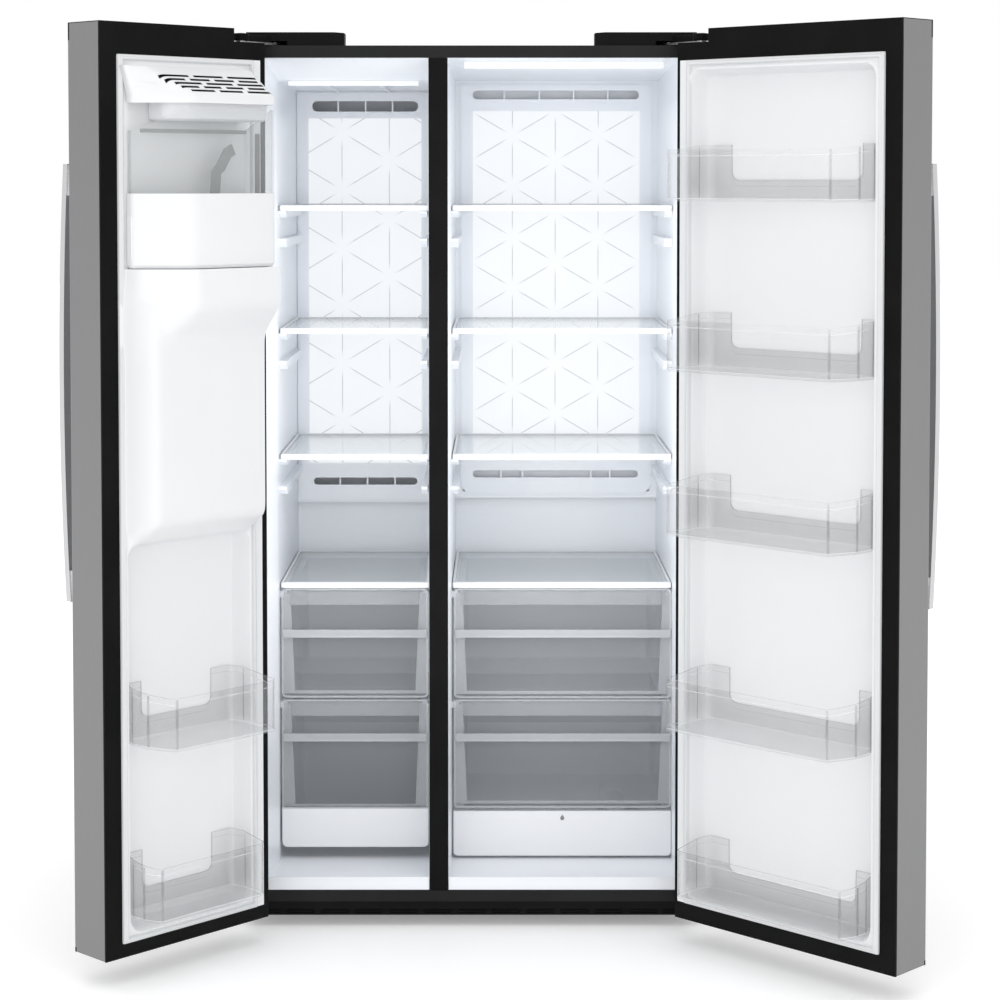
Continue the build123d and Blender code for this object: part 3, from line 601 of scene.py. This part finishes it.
def formed_sheet(name, body, node, box, heights, step_at=None):
    """A sheet over the height map, riding on its door."""
    u0, u1, z0, z1 = box
    us = np.linspace(u0, u1, int((u1 - u0) / CELL) + 1)
    zs = np.linspace(z0, z1, int((z1 - z0) / CELL) + 1)
    if step_at:
        zs = np.sort(np.append(zs[np.abs(zs - step_at) > 0.0012], [step_at - 0.0002, step_at + 0.0002]))
    field = heights(*np.meshgrid(us, zs))
    mesh = bmesh.new()
    grid = [[mesh.verts.new((u, v + FLANGE, z)) for u, v in zip(us, row)] for z, row in zip(zs, field)]
    for low_row, high_row in zip(grid, grid[1:]):
        for a, b, c, d in zip(low_row, low_row[1:], high_row[1:], high_row):
            mesh.faces.new((a, b, c, d))
    return finish_piece(name, mesh, (door_white,), body, (node,), DOORS[body])


# %% Fridge door liner
LIP = 0.017
low, high = on_door("fridge_door", "fridge_door_liner")
fridge_sheet = (low.x - LIP, high.x, low.z, high.z)
fridge_pan = (low.x + 0.012, high.x - 0.020, low.z + 0.020, high.z - 0.022)


def fridge_heights(u, z):
    inside = inside_frame(u, z, fridge_pan, 0.024)
    ridge = ramp(inside, -0.010, -0.006) * 0.0085
    sunk = ramp(inside, -0.001, 0.005) * (PAN_DEPTH + 0.0085)
    field = ridge - sunk
    return blurred(field, 1.1)


formed_sheet("fridge_liner_sheet", "fridge_door", "fridge_door_liner", fridge_sheet, fridge_heights)

# %% [markdown]
# The freezer door's sheet also swells round the dispenser. The lower box is shallow; above it the
# sheet sweeps out to carry the ice bucket, with its free side cut back at an angle. A wide blur makes
# the sweeps. The ledge under the bucket stays crisp, because the blur is applied below it only.

# %% Freezer door liner
low, high = on_door("freezer_door", "freezer_door_liner")
freezer_sheet = (low.x - LIP, high.x, low.z, high.z)
freezer_pan = (low.x + 0.020, high.x - 0.020, low.z + 0.020, 0.812)
LEDGE = 1.318


def freezer_heights(u, z):
    inside = inside_frame(u, z, freezer_pan, 0.024)
    whole = inside_frame(u, z, (freezer_pan[0], freezer_pan[1], freezer_pan[2], high.z - 0.020), 0.024)
    field = ramp(whole, -0.010, -0.006) * 0.006 - ramp(inside, -0.001, 0.005) * (PAN_DEPTH + 0.006)
    field = blurred(field, 1.1)
    across = 1 - ramp(u, 0.327, 0.335)
    lower = 0.060 * ramp(z, 0.812, 0.848) * across
    plan = np.minimum(0.107, np.maximum(0.105 - (u - 0.258), 0.025))
    plan = plan * (1 - ramp(u, 0.334, 0.342))
    profile = 0.058 + 0.048 * ramp(z, 1.188, 1.247)
    upper = np.where(z > 1.17, np.minimum(plan, profile), 0)
    swell = np.maximum(lower * (z < 1.25), upper)
    swell = blurred(swell, 3.4)
    top_part = blurred(np.where(z > 1.0, np.minimum(plan, profile), 0), 1.4)
    blend = ramp(z, 1.25, 1.31)
    swell = (swell * (1 - blend) + top_part * blend) * ramp(u, 0.0560, 0.0605)
    return np.where(z > LEDGE, field, field + np.maximum(swell, 0) * (z > 0.78))


formed_sheet(
    "freezer_liner_sheet", "freezer_door", "freezer_door_liner", freezer_sheet, freezer_heights, LEDGE,
)
print("2 door liners formed")

# %% [markdown]
# ## Door seals
# The seal is a soft magnetic strip. Its section is a flat foot with a round bead on it, and it runs
# round the door in one closed loop.

# %% Build the seals
SEAL_SECTION = [
    (0.0, 0.0), (0.0, 0.004), (0.0012, 0.0058), (0.0028, 0.0062), (0.0038, 0.0080), (0.0058, 0.0093),
    (0.0078, 0.0092), (0.0092, 0.0078), (0.0100, 0.0058), (0.0106, 0.002), (0.0108, 0.0),
]


def seal_piece(body, node):
    """The seal of one door: its section carried round the door's edge."""
    low, high = on_door(body, node)
    outline = rounded(rectangle(low.x, high.x, low.z, high.z), 0.004, 3)
    mesh = bmesh.new()
    rows = [upright(mesh, inset(outline, across), v) for across, v in SEAL_SECTION]
    for first, second in zip(rows, rows[1:]):
        bridge(mesh, first, second)
    finish_piece(node + "_bead", mesh, (seal_white,), body, (node,), DOORS[body])


seal_piece("freezer_door", "freezer_door_gasket")
seal_piece("fridge_door", "fridge_door_gasket")
print("2 seals laid")

# %% [markdown]
# ## Door bins
# Each bin is one clear moulding. Its plan is cut off at an angle at the free end, so that it passes
# the centre post as the door shuts. The ends stand tall, and the back is low in the middle so that it
# doesn't hide what it holds. The wide rim band stiffens the wall and catches the light.

# %% Build the bins
def bin_piece(node, body, finishes):
    low, high = on_door(body, node)
    hinge, free, deep, base, top = low.x, high.x, high.y, low.z, high.z
    cut = min(0.060, deep * 0.58)
    kink = 0.021 if deep > 0.080 else 0.012
    plan = [
        (hinge + 0.008, low.y), (hinge, 0.0), (hinge, deep - 0.012), (hinge + 0.012, deep),
        (free - kink, deep), (free, deep - cut), (free, 0.0), (free - 0.011, low.y),
    ]
    corner = [0.004, 0.006, 0.01, 0.01, 0.014, 0.014, 0.008, 0.004]
    outline = rounded(plan, corner)
    left, right = hinge + 0.054, free - 0.050
    sill, bend = base + 0.040, 0.016
    extra = [0.0003, 0.0012, 0.004, 0.008, bend]
    sills = [left + e for e in extra] + [left - 0.0003] + [right - e for e in extra] + [right + 0.0003]

    def top_at(p):
        full = top - 0.010 * min(max((p.y + 0.010) / max(deep - 0.010, 0.02), 0), 1)
        if p.y > low.y + 0.003 or not left < p.x < right:
            return full
        inside = min(p.x - left, right - p.x)
        if inside >= bend:
            return sill
        return sill + bend - (bend ** 2 - (bend - inside) ** 2) ** 0.5

    dense = []
    for here, after in zip(outline, outline[1:] + outline[:1]):
        dense.append(here)
        if abs(here.y - low.y) < 1e-4 and abs(after.y - low.y) < 1e-4:
            span = sorted(sills, reverse=after.x < here.x)
            dense += [Vector((u, low.y)) for u in span if min(here.x, after.x) < u < max(here.x, after.x)]
    mesh = tub(bmesh.new(), dense, base, top_at, 0.0024, 0.003, rim=0.0009, foot=0.004)
    # Two thin near-white bands, low on the wall and under the rim, are painted highlight lines.
    line = 0.0011
    for level in (lambda p: base + 0.0045, lambda p: top_at(p) - 0.0125):
        inside = inset(dense, 0.0004)
        band = [ring(mesh, inside, lambda p: level(p) + line), ring(mesh, inside, level)]
        for face in bridge(mesh, *band):
            face.material_index = 2
    # Flat strips in the dark edge finish at five corners are painted shade lines for the grey that the bent
    # corners show.
    for corner_at in (1, 3, 4, 5, 6):
        spot = Vector(plan[corner_at])
        near = min(range(len(outline)), key=lambda i: (outline[i] - spot).length)
        ends = [outline[near], outline[(near + 1) % len(outline)]]
        quad = [mesh.verts.new((q.x, q.y, z)) for q, z in (
            (ends[0], base + 0.005), (ends[1], base + 0.005), (ends[1], top_at(ends[1]) - 0.002),
            (ends[0], top_at(ends[0]) - 0.002))]
        mesh.faces.new(quad).material_index = 1
    return finish_piece(node + "_moulding", mesh, finishes, body, (node,), DOORS[body])


bin_finishes = (clear_bin, clear_edge_shade, clear_painted_highlight)
for index in range(1, 6):
    bin_piece("fridge_bin_%d" % index, "fridge_door", bin_finishes)
for level in ("upper", "lower"):
    bin_piece("freezer_bin_" + level, "freezer_door", bin_finishes)
print("7 bins moulded")

# %% [markdown]
# ## Shelves
# A shelf is a pane of tempered glass held in a white frame that is moulded round its edge. The frame
# is a ring with a taller front. The pane sits a millimetre under the frame's top, so a spill stays on
# the glass.

# %% Build the shelves
SHELF_CORNERS = [0.006, 0.006, 0.012, 0.012]
FRAME_SIDE, FRAME_FRONT = 0.009, 0.013
SEAT_WIDTH, SEAT_DEPTH = 0.0035, 0.005


def side_limits(points, y):
    """Left and right of a CAD node's points near the depth y."""
    xs = [p.x for p in points if abs(p.y - y) < 0.004]
    return min(xs), max(xs)


def glazed_shelf(label, node, body, front_xs, back_xs):
    """A frame and its pane, as wide as front_xs at the front and back_xs at the back."""
    low, high = (Vector(c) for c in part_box(node))
    front, back = [(x, low.y) for x in front_xs], [(x, high.y) for x in reversed(back_xs)]
    plan = rounded(front + back, SHELF_CORNERS)
    hole = [Vector((p.x, max(p.y, low.y + FRAME_FRONT))) for p in inset(plan, FRAME_SIDE)]
    seat = inset(hole, -SEAT_WIDTH)
    mesh = bmesh.new()
    loft(mesh, [
        ring(mesh, inset(plan, 0.0008), low.z), ring(mesh, plan, low.z + 0.0012),
        ring(mesh, plan, high.z - 0.0016), ring(mesh, inset(plan, 0.0012), high.z),
        ring(mesh, seat, high.z), ring(mesh, seat, high.z - SEAT_DEPTH),
        ring(mesh, hole, high.z - SEAT_DEPTH), ring(mesh, hole, low.z),
    ], closed=True)
    finish_piece(label + "_frame", mesh, (trim_white,), body, (node,))
    mesh = bmesh.new()
    pane = inset(seat, 0.0003)
    under, over = ring(mesh, pane, high.z - 0.0049), ring(mesh, pane, high.z - 0.001)
    for face in bridge(mesh, under, over):
        face.material_index = 1
    mesh.faces.new(under[::-1])
    mesh.faces.new(over)
    finish_piece(label + "_pane", mesh, (pane_glass, clear_edge_shade), body, (node,))


body_of = {name: body for body, names in frame["record"]["behaviour"]["bodies"].items() for name in names}
for index in (1, 2, 3):
    for node in ("fridge_shelf_%d" % index, "freezer_shelf_%d" % index):
        low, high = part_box(node)
        back_xs = side_limits([v.co for v in nodes[node].data.vertices], high[1])
        glazed_shelf(node, node, body_of[node], (low[0], high[0]), back_xs)
print("6 shelves glazed")

# %% [markdown]
# The fixed covers over the drawers are made like the shelves, one over each pair of drawers. They are
# one CAD node with two frames and two panes, so each pair of limits is read from the side of the
# centre post that it stands on.

# %% Build the crisper covers
POST_X = -0.065
cover_low, cover_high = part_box("crisper_covers")
for label, side in (("freezer_cover", -1), ("fridge_cover", 1)):
    mine = [v.co for v in nodes["crisper_covers"].data.vertices if (v.co.x - POST_X) * side > 0]
    front_xs, back_xs = side_limits(mine, cover_low[1]), side_limits(mine, cover_high[1])
    glazed_shelf(label, "crisper_covers", "cabinet", front_xs, back_xs)
print("2 drawer covers glazed")

# %% [markdown]
# ## Drawers
# A drawer has a wide front with a raised border, and behind it a narrower tub that hangs from two
# flanges. The smoked plastic gets darker with each wall that the eye looks through, so the tub looks
# darker than the two strips beside it. The lip across the front is the pull.

# %% Build the drawers
def plate(mesh, points, y_front, y_back, border=0.0035, step=0.0012):
    """An upright panel with a raised border round its front."""
    points = turned_ccw(points)
    rings = [
        upright(mesh, points, y_back), upright(mesh, points, y_front + 0.0012),
        upright(mesh, inset(points, 0.0012), y_front), upright(mesh, inset(points, border), y_front),
        upright(mesh, inset(points, border + 0.0008), y_front + step),
    ]
    faces = []
    for index, (first, second) in enumerate(zip(rings, rings[1:])):
        made = bridge(mesh, first, second)
        if index:
            faces += made
    mesh.faces.new(rings[0][::-1])
    mesh.faces.new(rings[-1])
    for face in faces:
        face.material_index = 1


def drawer_piece(node, pull_drop, skirt=0.0):
    low, high = (Vector(c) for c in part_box(node))
    front = low.y + 0.009
    face_back = front + 0.004
    back_low, back_high = side_limits([v.co for v in nodes[node].data.vertices], high.y)
    x0, x1 = low.x, high.x
    mesh = bmesh.new()
    front_outline = rounded(rectangle(x0, x1, low.z, high.z), 0.012, 6)
    plate(mesh, front_outline, front, face_back)
    wall_in = 0.019
    plan = [
        (x0 + wall_in, face_back), (x1 - wall_in, face_back), (back_high - wall_in, high.y),
        (back_low + wall_in, high.y),
    ]
    draft = rounded(plan, [0.001, 0.001, 0.014, 0.014])
    before = set(mesh.faces)
    tub(mesh, draft, low.z + 0.0015, high.z - 0.003, 0.0025, 0.0025, foot=0.006)
    behind_front = [face for face in mesh.faces if face not in before
                    and all(vertex.co.y < face_back + 0.0032 for vertex in face.verts)]
    bmesh.ops.delete(mesh, geom=behind_front, context="FACES")
    rail = 0.0035
    for a, b, c, d in ((x0, x0 + wall_in + 0.001, back_low, back_low + wall_in + 0.001),
                       (x1 - wall_in - 0.001, x1, back_high - wall_in - 0.001, back_high)):
        rail_plan = ((a, face_back), (b, face_back), (d, high.y), (c, high.y))
        four_sided(mesh, rail_plan, (high.z - rail, high.z - 0.0005), 1)
    pull = high.z - pull_drop
    slab(mesh, (x0 + 0.004, x1 - 0.004), (low.y, low.y + 0.0025), (pull, pull + 0.016), 1)
    slab(mesh, (x0 + 0.004, x1 - 0.004), (low.y + 0.0002, front + 0.001), (pull, pull + 0.0025), 1)
    # A lighter sheet behind the top of the front: painted light on the top of the drawer.
    slab(mesh, (x0 + 0.012, x1 - 0.012), (face_back, face_back + 0.002), (high.z - 0.034, high.z - 0.006), 2)
    foot = low.z + max(skirt, 0.008)
    for edge, way in ((x0, 1), (x1, -1)):
        strip = [Vector((edge + way * across, z)) for across, z in (
            (0.003, foot), (0.027, foot), (0.018, high.z - 0.010), (0.003, high.z - 0.010))]
        standing_prism(mesh, strip, face_back + 0.0004, face_back + 0.0024, 1)
    slab(mesh, (x0 + 0.016, x1 - 0.016), (face_back, face_back + 0.002), (foot, foot + 0.006), 1)
    lip = upright(mesh, inset(front_outline, 0.0030), front - 0.0004)
    rim = upright(mesh, inset(front_outline, 0.0002), front - 0.0004)
    for face in bridge(mesh, rim, lip):
        face.material_index = 1
    plastics = (smoked, smoked_light, smoked_painted_light)
    finish_piece(node + "_moulding", mesh, plastics, body_of[node], (node,))
    if skirt:
        mesh = bmesh.new()
        outline = rounded(rectangle(x0, x1, low.z, low.z + skirt), [0.012, 0.012, 0.0008, 0.0008], 6)
        loft(mesh, [
            upright(mesh, outline, front - 0.0002), upright(mesh, outline, front - 0.0022),
            upright(mesh, inset(outline, 0.0014), front - 0.0035),
        ])
        finish_piece(node + "_skirt", mesh, (trim_white,), body_of[node], (node,))


drawer_piece("fridge_drawer_upper", 0.099)
drawer_piece("fridge_drawer_lower", 0.084)
drawer_piece("freezer_drawer_upper", 0.099)
drawer_piece("freezer_drawer_lower", 0.084, skirt=0.081)
print("4 drawers moulded")

# %% [markdown]
# ## Ice bucket
# The bucket is white below and clear above, so that the ice can be seen. Both halves share one
# outline. Inside stands the bent bar that stirs the ice. A thin raised strip on the free side marks
# where the fingers go.

# %% Build the ice bucket
ICE = DOORS["freezer_door"]
ice_low, ice_high = on_door("freezer_door", "ice_bucket")
ICE_SPLIT = ice_low.z + 0.136
ICE_PLAN = [
    (0.0545, 0.0008), (0.062, 0.105), (0.258, 0.105), (0.338, 0.025), (0.338, 0.010), (0.331, 0.009),
    (0.331, 0.0008),
]
ice_outline = rounded(ICE_PLAN, [0.002, 0.012, 0.02, 0.006, 0.003, 0.002, 0.002])
mesh = tub(bmesh.new(), ice_outline, ice_low.z, ICE_SPLIT, 0.003, 0.004, foot=0.006, edge_slot=0)
finish_piece("ice_bucket_base", mesh, (door_white,), "ice_bucket", ("ice_bucket",), ICE)

mesh = bmesh.new()
window = inset(ice_outline, 0.0012)


def window_top(p):
    return ice_high.z if p.y > 0.09 or (p.x > 0.262 and p.y > 0.03) else ice_high.z - 0.041


rings = [
    ring(mesh, window, ICE_SPLIT), ring(mesh, window, window_top),
    ring(mesh, inset(window, 0.0024), window_top), ring(mesh, inset(window, 0.0024), ICE_SPLIT),
]
for index, (first, second) in enumerate(zip(rings, rings[1:] + rings[:1])):
    for face in bridge(mesh, first, second):
        face.material_index = 1 if index == 1 else 0
clears = (window_clear, clear_edge_shade)
finish_piece("ice_bucket_window", mesh, clears, "ice_bucket", ("ice_bucket",), ICE)


def bar(name, path, width, thick, finish, body, matrix, stands_for=()):
    """A flat bar bent along a path of (u, z) points, standing at the v of each point."""
    mesh = bmesh.new()
    rows = []
    for index, (u, v, z) in enumerate(path):
        before = Vector(path[max(index - 1, 0)])
        after = Vector(path[min(index + 1, len(path) - 1)])
        along = (after - before).normalized()
        side = Vector((along.z, 0, -along.x)) * width / 2
        here = Vector((u, v, z))
        deep = Vector((0, thick / 2, 0))
        offsets = (side + deep, deep - side, -side - deep, side - deep)
        rows.append([mesh.verts.new(here + offset) for offset in offsets])
    loft(mesh, rows)
    return finish_piece(name, mesh, (finish,), body, stands_for, matrix, bevel=0.0008)


# This grey serves the bar that stirs the ice. It also serves the bucket's painted shade strip and its painted
# shadow bar.
stirrer_and_painted_shade = satin("stirrer_and_painted_shade", (0.26, 0.265, 0.27, 1), (0.30, 0.305, 0.31, 1), 0.5)
STIR_DEPTH = 0.040
agitator = [(u, STIR_DEPTH, z) for u, z in (
    (0.160, 1.345), (0.158, 1.44), (0.153, 1.494), (0.143, 1.503), (0.126, 1.530), (0.112, 1.537))]
bar("ice_agitator", agitator, 0.022, 0.004, stirrer_and_painted_shade, "ice_bucket", ICE, ("ice_bucket",))
# A grey upright strip inside the hinge-side wall is painted shade: the dark line that this wall shows seen
# edge-on.
edge_shade_path = [(0.0685, 0.058, 1.40), (0.0685, 0.058, 1.50), (0.0685, 0.058, 1.566)]
bar("ice_bucket_edge_shade", edge_shade_path, 0.003, 0.013, stirrer_and_painted_shade, "ice_bucket", ICE, ("ice_bucket",))
recess = [(0.3375, 0.018, 1.335), (0.3375, 0.018, 1.37), (0.3375, 0.018, 1.414)]
bar("ice_bucket_grip", recess, 0.0024, 0.012, trim_white, "ice_bucket", ICE, ("ice_bucket",))

# A grey bar at the top of the low back wall is a painted shadow: the dark line that the ice maker casts there.
mesh = bmesh.new()
slab(mesh, (0.074, 0.322), (0.030, 0.034), (1.5655, 1.5725))
finish_piece("ice_bucket_shadow_bar", mesh, (stirrer_and_painted_shade,), "ice_bucket", ("ice_bucket",), ICE,
             bevel=0.0008)
print("ice bucket built")

# %% [markdown]
# ## Ice hood and ice maker
# The hood closes the top of the ice compartment and lets cold air fall in through rows of slots. It is
# a loft: the narrow top outline turns into the bucket's outline on the way down. The slots are cut
# with a boolean, which suits flat-sided holes through one thin wall. A black sheet under the slots is
# painted shade: it keeps them dark, as the shaded inside of the hood would be.

# %% Build the hood
HOOD_TOP, HOOD_LIP, HOOD_LOW = 1.686, 1.634, 1.619
HOOD_SLOPE = 0.658
SLOT_ROWS, ROW_STEP = 5, 0.0105
HOOD_PLAN = [
    (0.055, 0.0008), (0.056, 0.026), (0.300, 0.026), (0.349, 0.022), (0.350, 0.010), (0.3495, 0.009),
    (0.349, 0.0008),
]


def hood_outline(drop, shrink):
    """Outline of the hood, drop going from 0 at its top to 1 at its lip."""
    corners = [Vector(a).lerp(Vector(b), drop) for a, b in zip(HOOD_PLAN, ICE_PLAN)]
    return inset(rounded(corners, [0.002, 0.008, 0.012, 0.006, 0.003, 0.002, 0.002]), shrink)


def cut_out(piece, cutters):
    """Boolean the cutters out of a piece, bake the result and throw the cutters away."""
    for cutter in cutters:
        change = piece.modifiers.new("cut", "BOOLEAN")
        change.operation = "DIFFERENCE"
        change.solver = "EXACT"
        change.object = cutter
    bpy.context.view_layer.update()
    shape = bpy.data.meshes.new_from_object(piece.evaluated_get(bpy.context.evaluated_depsgraph_get()))
    piece.modifiers.clear()
    piece.data = shape
    for cutter in cutters:
        bpy.data.objects.remove(cutter)
    return piece


mesh = bmesh.new()
levels = [(HOOD_TOP, 0), (1.673, 0.25), (1.660, 0.5), (1.647, 0.75), (HOOD_LIP, 1.0), (HOOD_LOW, 1.0)]
rings = [ring(mesh, hood_outline(drop, 0.0), z) for z, drop in levels]
rings += [ring(mesh, hood_outline(drop, 0.0016), min(z, HOOD_TOP - 0.0016)) for z, drop in reversed(levels)]
for first, second in zip(rings, rings[1:]):
    bridge(mesh, first, second)
mesh.faces.new(rings[0])
mesh.faces.new(rings[-1])
slots = bmesh.new()
for row in range(SLOT_ROWS):
    v = 0.047 + ROW_STEP * row
    z = HOOD_TOP - (v - 0.026) * HOOD_SLOPE
    count = 3 + row % 2
    pitch = (0.306 - ROW_STEP * row - 0.066) / count
    for index in range(count):
        start = 0.066 + pitch * index + (row % 2) * 0.004
        slab(slots, (start, start + pitch - 0.011), (v, v + 0.0072), (z - 0.014, z + 0.010))
slot_data = bpy.data.meshes.new("slots")
bmesh.ops.transform(slots, matrix=ICE, verts=slots.verts)
bmesh.ops.recalc_face_normals(slots, faces=slots.faces)
slots.to_mesh(slot_data)
slots.free()
slot_cutter = bpy.data.objects.new("slots", slot_data)
bpy.context.scene.collection.objects.link(slot_cutter)
hood = finish_piece("ice_hood_shell", mesh, (door_white,), "freezer_door", ("ice_hood",), ICE)
cut_out(hood, [slot_cutter])

# A black sheet under the slots: painted shade for the dark inside of the hood.
mesh = bmesh.new()
shade_sheet = [mesh.verts.new(p) for p in (
    (0.060, 0.034, HOOD_TOP - 0.009), (0.300, 0.034, HOOD_TOP - 0.009), (0.256, 0.099, HOOD_LIP - 0.001),
    (0.066, 0.099, HOOD_LIP - 0.001))]
mesh.faces.new(shade_sheet)
finish_piece("ice_hood_shade_sheet", mesh, (frame_black,), "freezer_door", ("ice_hood",), ICE)

mesh = bmesh.new()
plan = [(0.066, 0.008), (0.066, 0.090), (0.248, 0.090), (0.286, 0.054), (0.286, 0.008)]
maker = rounded(plan, [0.003, 0.014, 0.014, 0.012, 0.003])
rings = [
    ring(mesh, inset(maker, 0.007), 1.588), ring(mesh, inset(maker, 0.002), 1.591),
    ring(mesh, maker, 1.597), ring(mesh, maker, 1.640),
]
for first, second in zip(rings, rings[1:]):
    bridge(mesh, first, second)
mesh.faces.new(rings[0])
mesh.faces.new(rings[-1])
finish_piece("icemaker_body", mesh, (trim_white,), "freezer_door", ("icemaker",), ICE)
print("hood and ice maker built")

# %% [markdown]
# ## Filter cover
# The cover in front of the water filters is a flat white flap with round lower corners. Its only mark
# is a drop of water, which is a plain raised outline: a circle below and a point above.

# %% Build the filter cover
low, high = (Vector(c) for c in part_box("filter_cover"))
mesh = bmesh.new()
outline = rounded(rectangle(low.x, high.x, low.z, high.z), [0.01, 0.01, 0.002, 0.002], 6)
loft(mesh, [
    upright(mesh, outline, high.y), upright(mesh, outline, low.y + 0.0016),
    upright(mesh, inset(outline, 0.0014), low.y + 0.0004),
])
slab(mesh, (low.x + 0.003, high.x - 0.003), (low.y, low.y + 0.0015), (high.z - 0.021, high.z - 0.002))
finish_piece("filter_flap", mesh, (trim_white,), "filter_cover", ("filter_cover",))

mesh = bmesh.new()
middle = Vector(((low.x + high.x) / 2, high.z - 0.014))
DROP_STEPS, DROP_RADIUS = 28, 0.0042
drop = []
for step in range(DROP_STEPS):
    angle = -pi / 2 + 2 * pi * step / DROP_STEPS
    point = Vector((cos(angle), sin(angle))) * DROP_RADIUS
    if point.y > 0:
        point = Vector((point.x * (1 - (point.y / DROP_RADIUS) ** 1.5), point.y * 1.9))
    drop.append(middle + point)
drop = turned_ccw(drop)
loft(mesh, [upright(mesh, drop, low.y + 0.0002), upright(mesh, drop, low.y - 0.0003)])
finish_piece("filter_drop", mesh, (grey_plastic,), "filter_cover", ("filter_cover",))
print("filter cover built")

# %% [markdown]
# ## Trims and hinge noses
# A white trim closes the joint between each back cover and the liner. Over each upper pin sits a
# black knuckle, a short ring with a flat front, which the door's notch turns under.

# %% Build the trims
def trim_ring(name, node, outside):
    """An upright frame from just inside a cover's edge out to the liner."""
    low, high = (Vector(c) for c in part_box(node))
    mesh = bmesh.new()
    outer = rectangle(*outside)
    inner = rectangle(low.x + 0.004, high.x - 0.004, low.z + 0.004, high.z - 0.004)
    y = low.y + 0.003
    loft(mesh, [
        upright(mesh, outer, y), upright(mesh, inner, y),
        upright(mesh, inner, y + 0.003), upright(mesh, outer, y + 0.003),
    ], closed=True)
    finish_piece(name, mesh, (liner_white,), "cabinet")


trim_ring("fridge_cover_trim", "fridge_duct_cover", (-0.0425, 0.4015, 0.779, 1.6995))
trim_ring("freezer_cover_trim", "evaporator_cover", (-0.3915, -0.0935, 0.769, 1.6765))


NOSE_STEPS = 24


def hinge_nose(side):
    """The knuckle cover over an upper pin: a ring open over the pin, with an arm back to the hood."""
    pin = Vector(joints[side + "_door"]["pos_m"])
    sign = 1 if pin.x > 0 else -1
    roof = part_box("case_wrapper")[1][2]
    foot, crown = roof + 0.0055, roof + 0.0185
    mesh = bmesh.new()
    outer, inner = [], []
    for step in range(NOSE_STEPS):
        angle = 2 * pi * step / NOSE_STEPS
        way = Vector((cos(angle), sin(angle)))
        outer.append(Vector((pin.x, pin.y)) + way * 0.0165)
        inner.append(Vector((pin.x, pin.y)) + way * 0.0112)
    loft(mesh, [
        ring(mesh, outer, foot), ring(mesh, outer, crown),
        ring(mesh, inner, crown + 0.001), ring(mesh, inner, foot),
    ], closed=True)
    plan = [
        (pin.x - sign * 0.004, pin.y + 0.014), (pin.x - sign * 0.052, 0.006),
        (pin.x - sign * 0.020, 0.006), (pin.x + sign * 0.002, pin.y + 0.030),
    ]
    arm = turned_ccw([Vector(p) for p in plan])
    loft(mesh, [ring(mesh, arm, foot), ring(mesh, arm, crown)])
    finish_piece(side + "_hinge_nose", mesh, (frame_black,), "cabinet", bevel=0.0008)


# A black sheet just behind the toe grille is painted shade: it keeps the slots dark, as the shaded space behind
# them is.
low, high = (Vector(c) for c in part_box("toe_grille"))
mesh = bmesh.new()
shade_sheet_depth = (high.y + 0.0005, high.y + 0.0025)
slab(mesh, (low.x + 0.004, high.x - 0.004), shade_sheet_depth, (low.z + 0.002, high.z - 0.002))
finish_piece("toe_grille_shade_sheet", mesh, (frame_black,), "cabinet", bevel=0.0006)

hinge_nose("freezer")
hinge_nose("fridge")
print("trims and hinge noses built")

# %% [markdown]
# ## Camera, floor and light
# The camera stands well back, near the height of the ice maker. It is tilted down a little and its
# frame is shifted down, so upright edges stay nearly upright as in a catalogue picture. The world is
# an even white and two large soft lamps add a gentle direction. A weak lamp in each doorway stands
# for the light that the white rooms pass round inside.

# %% Camera
CAMERA_PLACE = (0.0557, -4.7096, 1.4763)
CAMERA_TILT, CAMERA_SHIFT = 2.6, -0.209
camera_data = bpy.data.cameras.new("camera")
camera = bpy.data.objects.new("camera", camera_data)
bpy.context.scene.collection.objects.link(camera)
camera.location = CAMERA_PLACE
camera.rotation_euler = (radians(90 - CAMERA_TILT), 0, 0)
camera_data.lens = 86.6
camera_data.sensor_width = 36.0
camera_data.shift_y = CAMERA_SHIFT
bpy.context.scene.camera = camera

# %% Floor
mesh = bmesh.new()
bmesh.ops.create_grid(mesh, x_segments=8, y_segments=8, size=30)
floor_data = bpy.data.meshes.new("floor")
mesh.to_mesh(floor_data)
mesh.free()
floor = bpy.data.objects.new("floor", floor_data)
bpy.context.scene.collection.objects.link(floor)
floor_finish = Finish("floor_pale", Roughness=0.6, Emission_Color=(1, 1, 1, 1), Emission_Strength=0.26)
mottle = floor_finish.noise(1.5)
floor_finish.set(Base_Color=floor_finish.mix(mottle, (0.9, 0.9, 0.9, 1), (0.92, 0.92, 0.92, 1)))
floor_data.materials.append(floor_finish.material)

# %% Light
world = bpy.data.worlds.new("studio")
bpy.context.scene.world = world
world.use_nodes = True
backdrop = world.node_tree.nodes["Background"]
backdrop.inputs["Color"].default_value = (1.0, 1.0, 1.0, 1)
backdrop.inputs["Strength"].default_value = 1.0


def soft_lamp(name, place, aim, size, power):
    lamp_data = bpy.data.lights.new(name, "AREA")
    lamp_data.shape = "RECTANGLE"
    lamp_data.size, lamp_data.size_y = size
    lamp_data.energy = power
    lamp = bpy.data.objects.new(name, lamp_data)
    bpy.context.scene.collection.objects.link(lamp)
    lamp.location = place
    lamp.rotation_euler = (Vector(aim) - Vector(place)).to_track_quat("-Z", "Y").to_euler()
    return lamp


soft_lamp("front_lamp", (0.0, -5.2, 1.7), (0, 0, 0.9), (4.0, 3.0), 30)
soft_lamp("top_lamp", (0.0, -1.0, 4.2), (0, 0, 0.6), (3.0, 3.0), 12)
for room, (x0, x1), power in (("freezer", (-0.39, -0.10), 1.3), ("fridge", (-0.04, 0.39), 1.8)):
    middle = (x0 + x1) / 2
    glow = soft_lamp(room + "_lamp", (middle, -0.10, 1.0), (middle, 1.0, 1.0), (x1 - x0, 1.1), power)
    glow.visible_camera = glow.visible_glossy = False
bpy.context.scene.view_settings.view_transform = "Standard"
